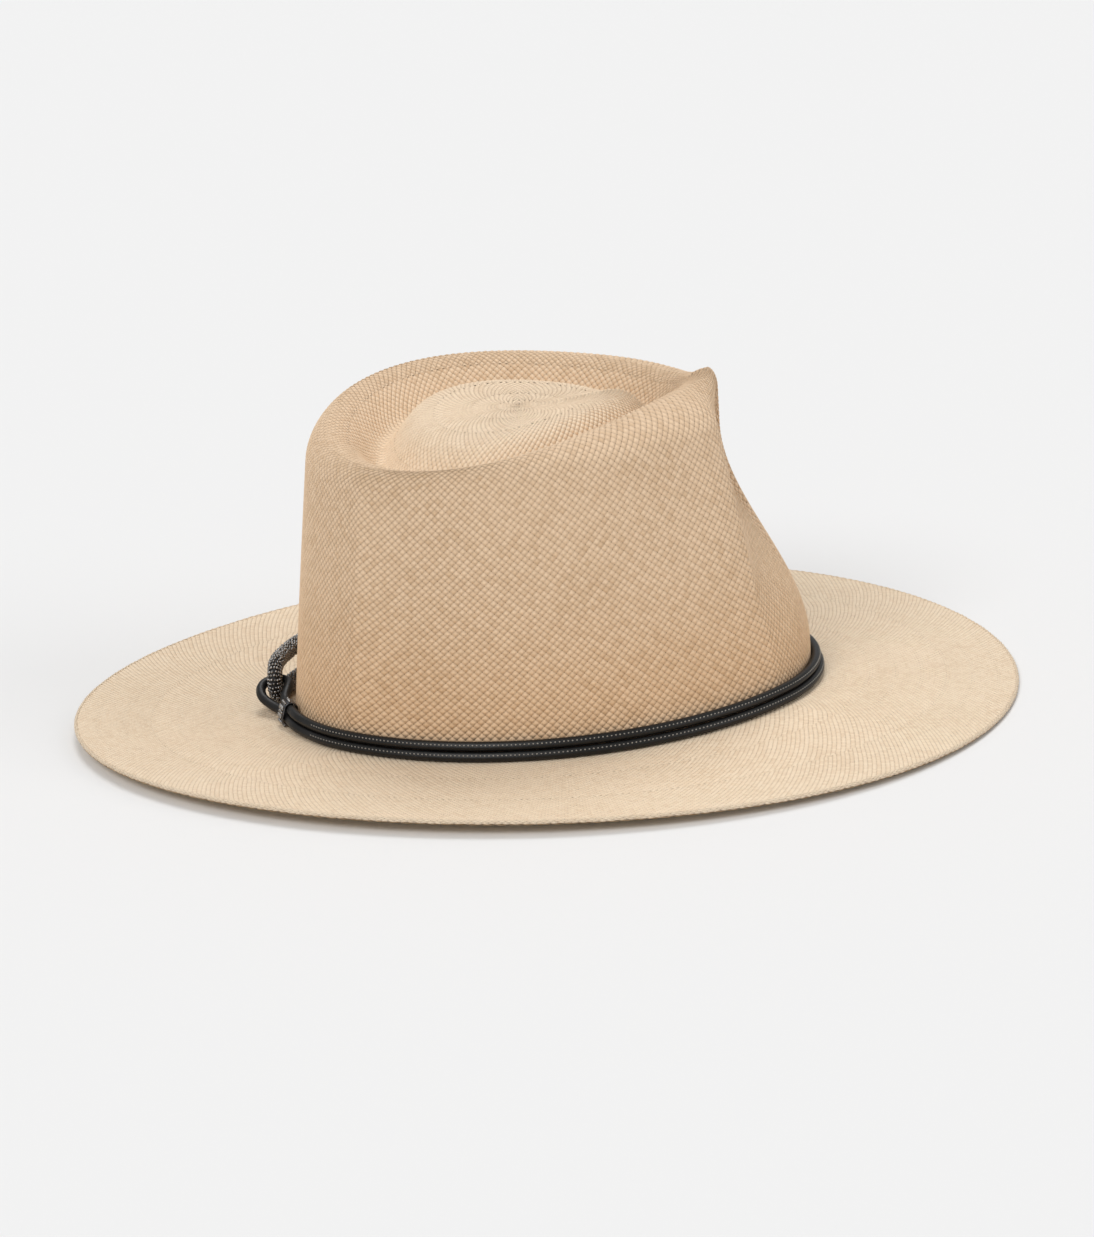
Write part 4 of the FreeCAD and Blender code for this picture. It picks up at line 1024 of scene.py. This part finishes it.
def make_bow(ribbon):
    low, high = (np.array(corner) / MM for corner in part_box("sweatband_bow"))
    middle = (low + high) / 2
    tilt = math.atan(BAND_LEAN / BAND_TALL) - FOOT_TILT
    up = np.array([math.sin(tilt), 0, math.cos(tilt)])
    out = np.array([math.cos(tilt), 0, -math.sin(tilt)])
    wide = np.array([0, 1.0, 0])
    rows = []
    for step in range(96):
        turn = 2 * math.pi * step / 96
        reach = BOW_REACH * math.sin(turn)
        depth = BOW_DEPTH * math.sin(2 * turn)
        pinch = 0.55 + 0.45 * smooth_step(abs(math.sin(turn)) * 1.6)
        heights = np.linspace(-BOW_HALF, BOW_HALF, 13) * pinch
        sag = BOW_SAG * np.cos(heights)
        rows.append(middle + wide * reach + out * (depth + sag)[:, None] + up * heights[:, None])
    mesh = grid_mesh("bow_loops", np.stack(rows), map_steps(0.8, 0.5), False, True)
    loops = piece("bow_loops", mesh, ribbon, "hat", "ribbon", "sweatband_bow")
    thicken(loops, RIBBON_THICK)
    rows = []
    for step in range(32):
        turn = 2 * math.pi * step / 32
        heights = out * math.cos(turn) * KNOT_DEEP + up * math.sin(turn) * KNOT_TALL
        width = np.linspace(-KNOT_HALF, KNOT_HALF, 8)
        bulge = 1 - KNOT_BULGE * np.square(width / KNOT_HALF)
        rows.append(middle + wide * width[:, None] + heights * bulge[:, None])
    mesh = grid_mesh("bow_knot", np.stack(rows), map_steps(0.8, 0.5), False, True)
    knot = piece("bow_knot", mesh, ribbon, "hat", "ribbon", "sweatband_bow")
    thicken(knot, RIBBON_THICK)


def thicken(item, thickness):
    solid = item.modifiers.new("thickness", "SOLIDIFY")
    solid.thickness = thickness
    solid.offset = 0.0


def make_tab(cloth):
    low, high = (np.array(corner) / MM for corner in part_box("size_tab"))
    across, up = np.meshgrid(np.linspace(low[0], high[0], 24), np.linspace(low[2], high[2], 14))
    curl = TAB_CURL * np.sin((across - low[0]) / (high[0] - low[0]) * math.pi) - 0.12
    points = np.stack([across, (low[1] + high[1]) / 2 + curl, up], -1)
    mesh = grid_mesh("blank_tab", points, map_steps(0.9, 0.9))
    tab = piece("blank_tab", mesh, cloth, "hat", "tab_cloth", "size_tab")
    thicken(tab, TAB_THICK)


# ---------------------------------------------------------------- assembly
def cover_node(name, material):
    item = frame["nodes"][name]
    item.data.materials.clear()
    item.data.materials.append(material)


make_camera()
make_studio()

# the third colour is the painted shade between the straws and in the holes
tan_light, tan_dark, tan_gap_shade = (0.84, 0.62, 0.42), (0.62, 0.41, 0.235), (0.30, 0.16, 0.07)
# lighter tones of the crown's straw for its top: painted light
lit_top_tones = ((0.95, 0.755, 0.55), (0.77, 0.56, 0.37))
make_straw(
    straw_finish("crown_straw", tan_light, tan_dark, tan_gap_shade, 0.0006, foot_shade=0.35,
                 lit_top_tones=lit_top_tones),
    straw_finish("crown_top_straw", tan_light, tan_dark, tan_gap_shade, 0.0005, lit_top_tones=lit_top_tones),
    straw_finish("brim_straw", (0.94, 0.77, 0.57), (0.76, 0.56, 0.37), (0.38, 0.22, 0.10), 0.0004,
                 hole_rows=9.0),
    straw_finish("under_straw", (0.84, 0.66, 0.45), (0.64, 0.45, 0.26), tan_gap_shade, 0.0003))
black_leather = leather_finish("cord_leather", (0.0045, 0.0043, 0.0042), 0.44)
make_cord(black_leather, twist_finish("cord_thread", (0.42, 0.40, 0.36)))
dark_beads = metal_finish("gunmetal_beads", (0.17, 0.165, 0.16), 0.16)
make_link(leather_finish("link_backing", (0.010, 0.010, 0.011), 0.6), dark_beads)
ways = {joint["child"]: joint["axis"] for joint in frame["record"]["behaviour"]["joints"]}
for side in ("right", "left"):
    make_keeper(side, metal_finish("keeper_metal_" + side, (0.08, 0.08, 0.085), 0.3), dark_beads,
                ways["keeper_" + side])
make_sweatband(
    leather_finish("sweatband_leather", (0.16, 0.085, 0.042), 0.5, 1400.0, 0.00006),
    twist_finish("sewing_thread", (0.62, 0.50, 0.34)),
    ribbed_finish("bow_ribbon", (0.03, 0.03, 0.034), 1.0),
    ribbed_finish("tab_cloth", (0.75, 0.73, 0.68), 0.6))
cover_node("sweatband_reed", twist_finish("reed_cover", (0.62, 0.52, 0.36)))
cover_node("cord_core", twist_finish("cotton_filler", (0.75, 0.72, 0.64)))
cover_node("link_core", twist_finish("link_filler", (0.70, 0.67, 0.60)))
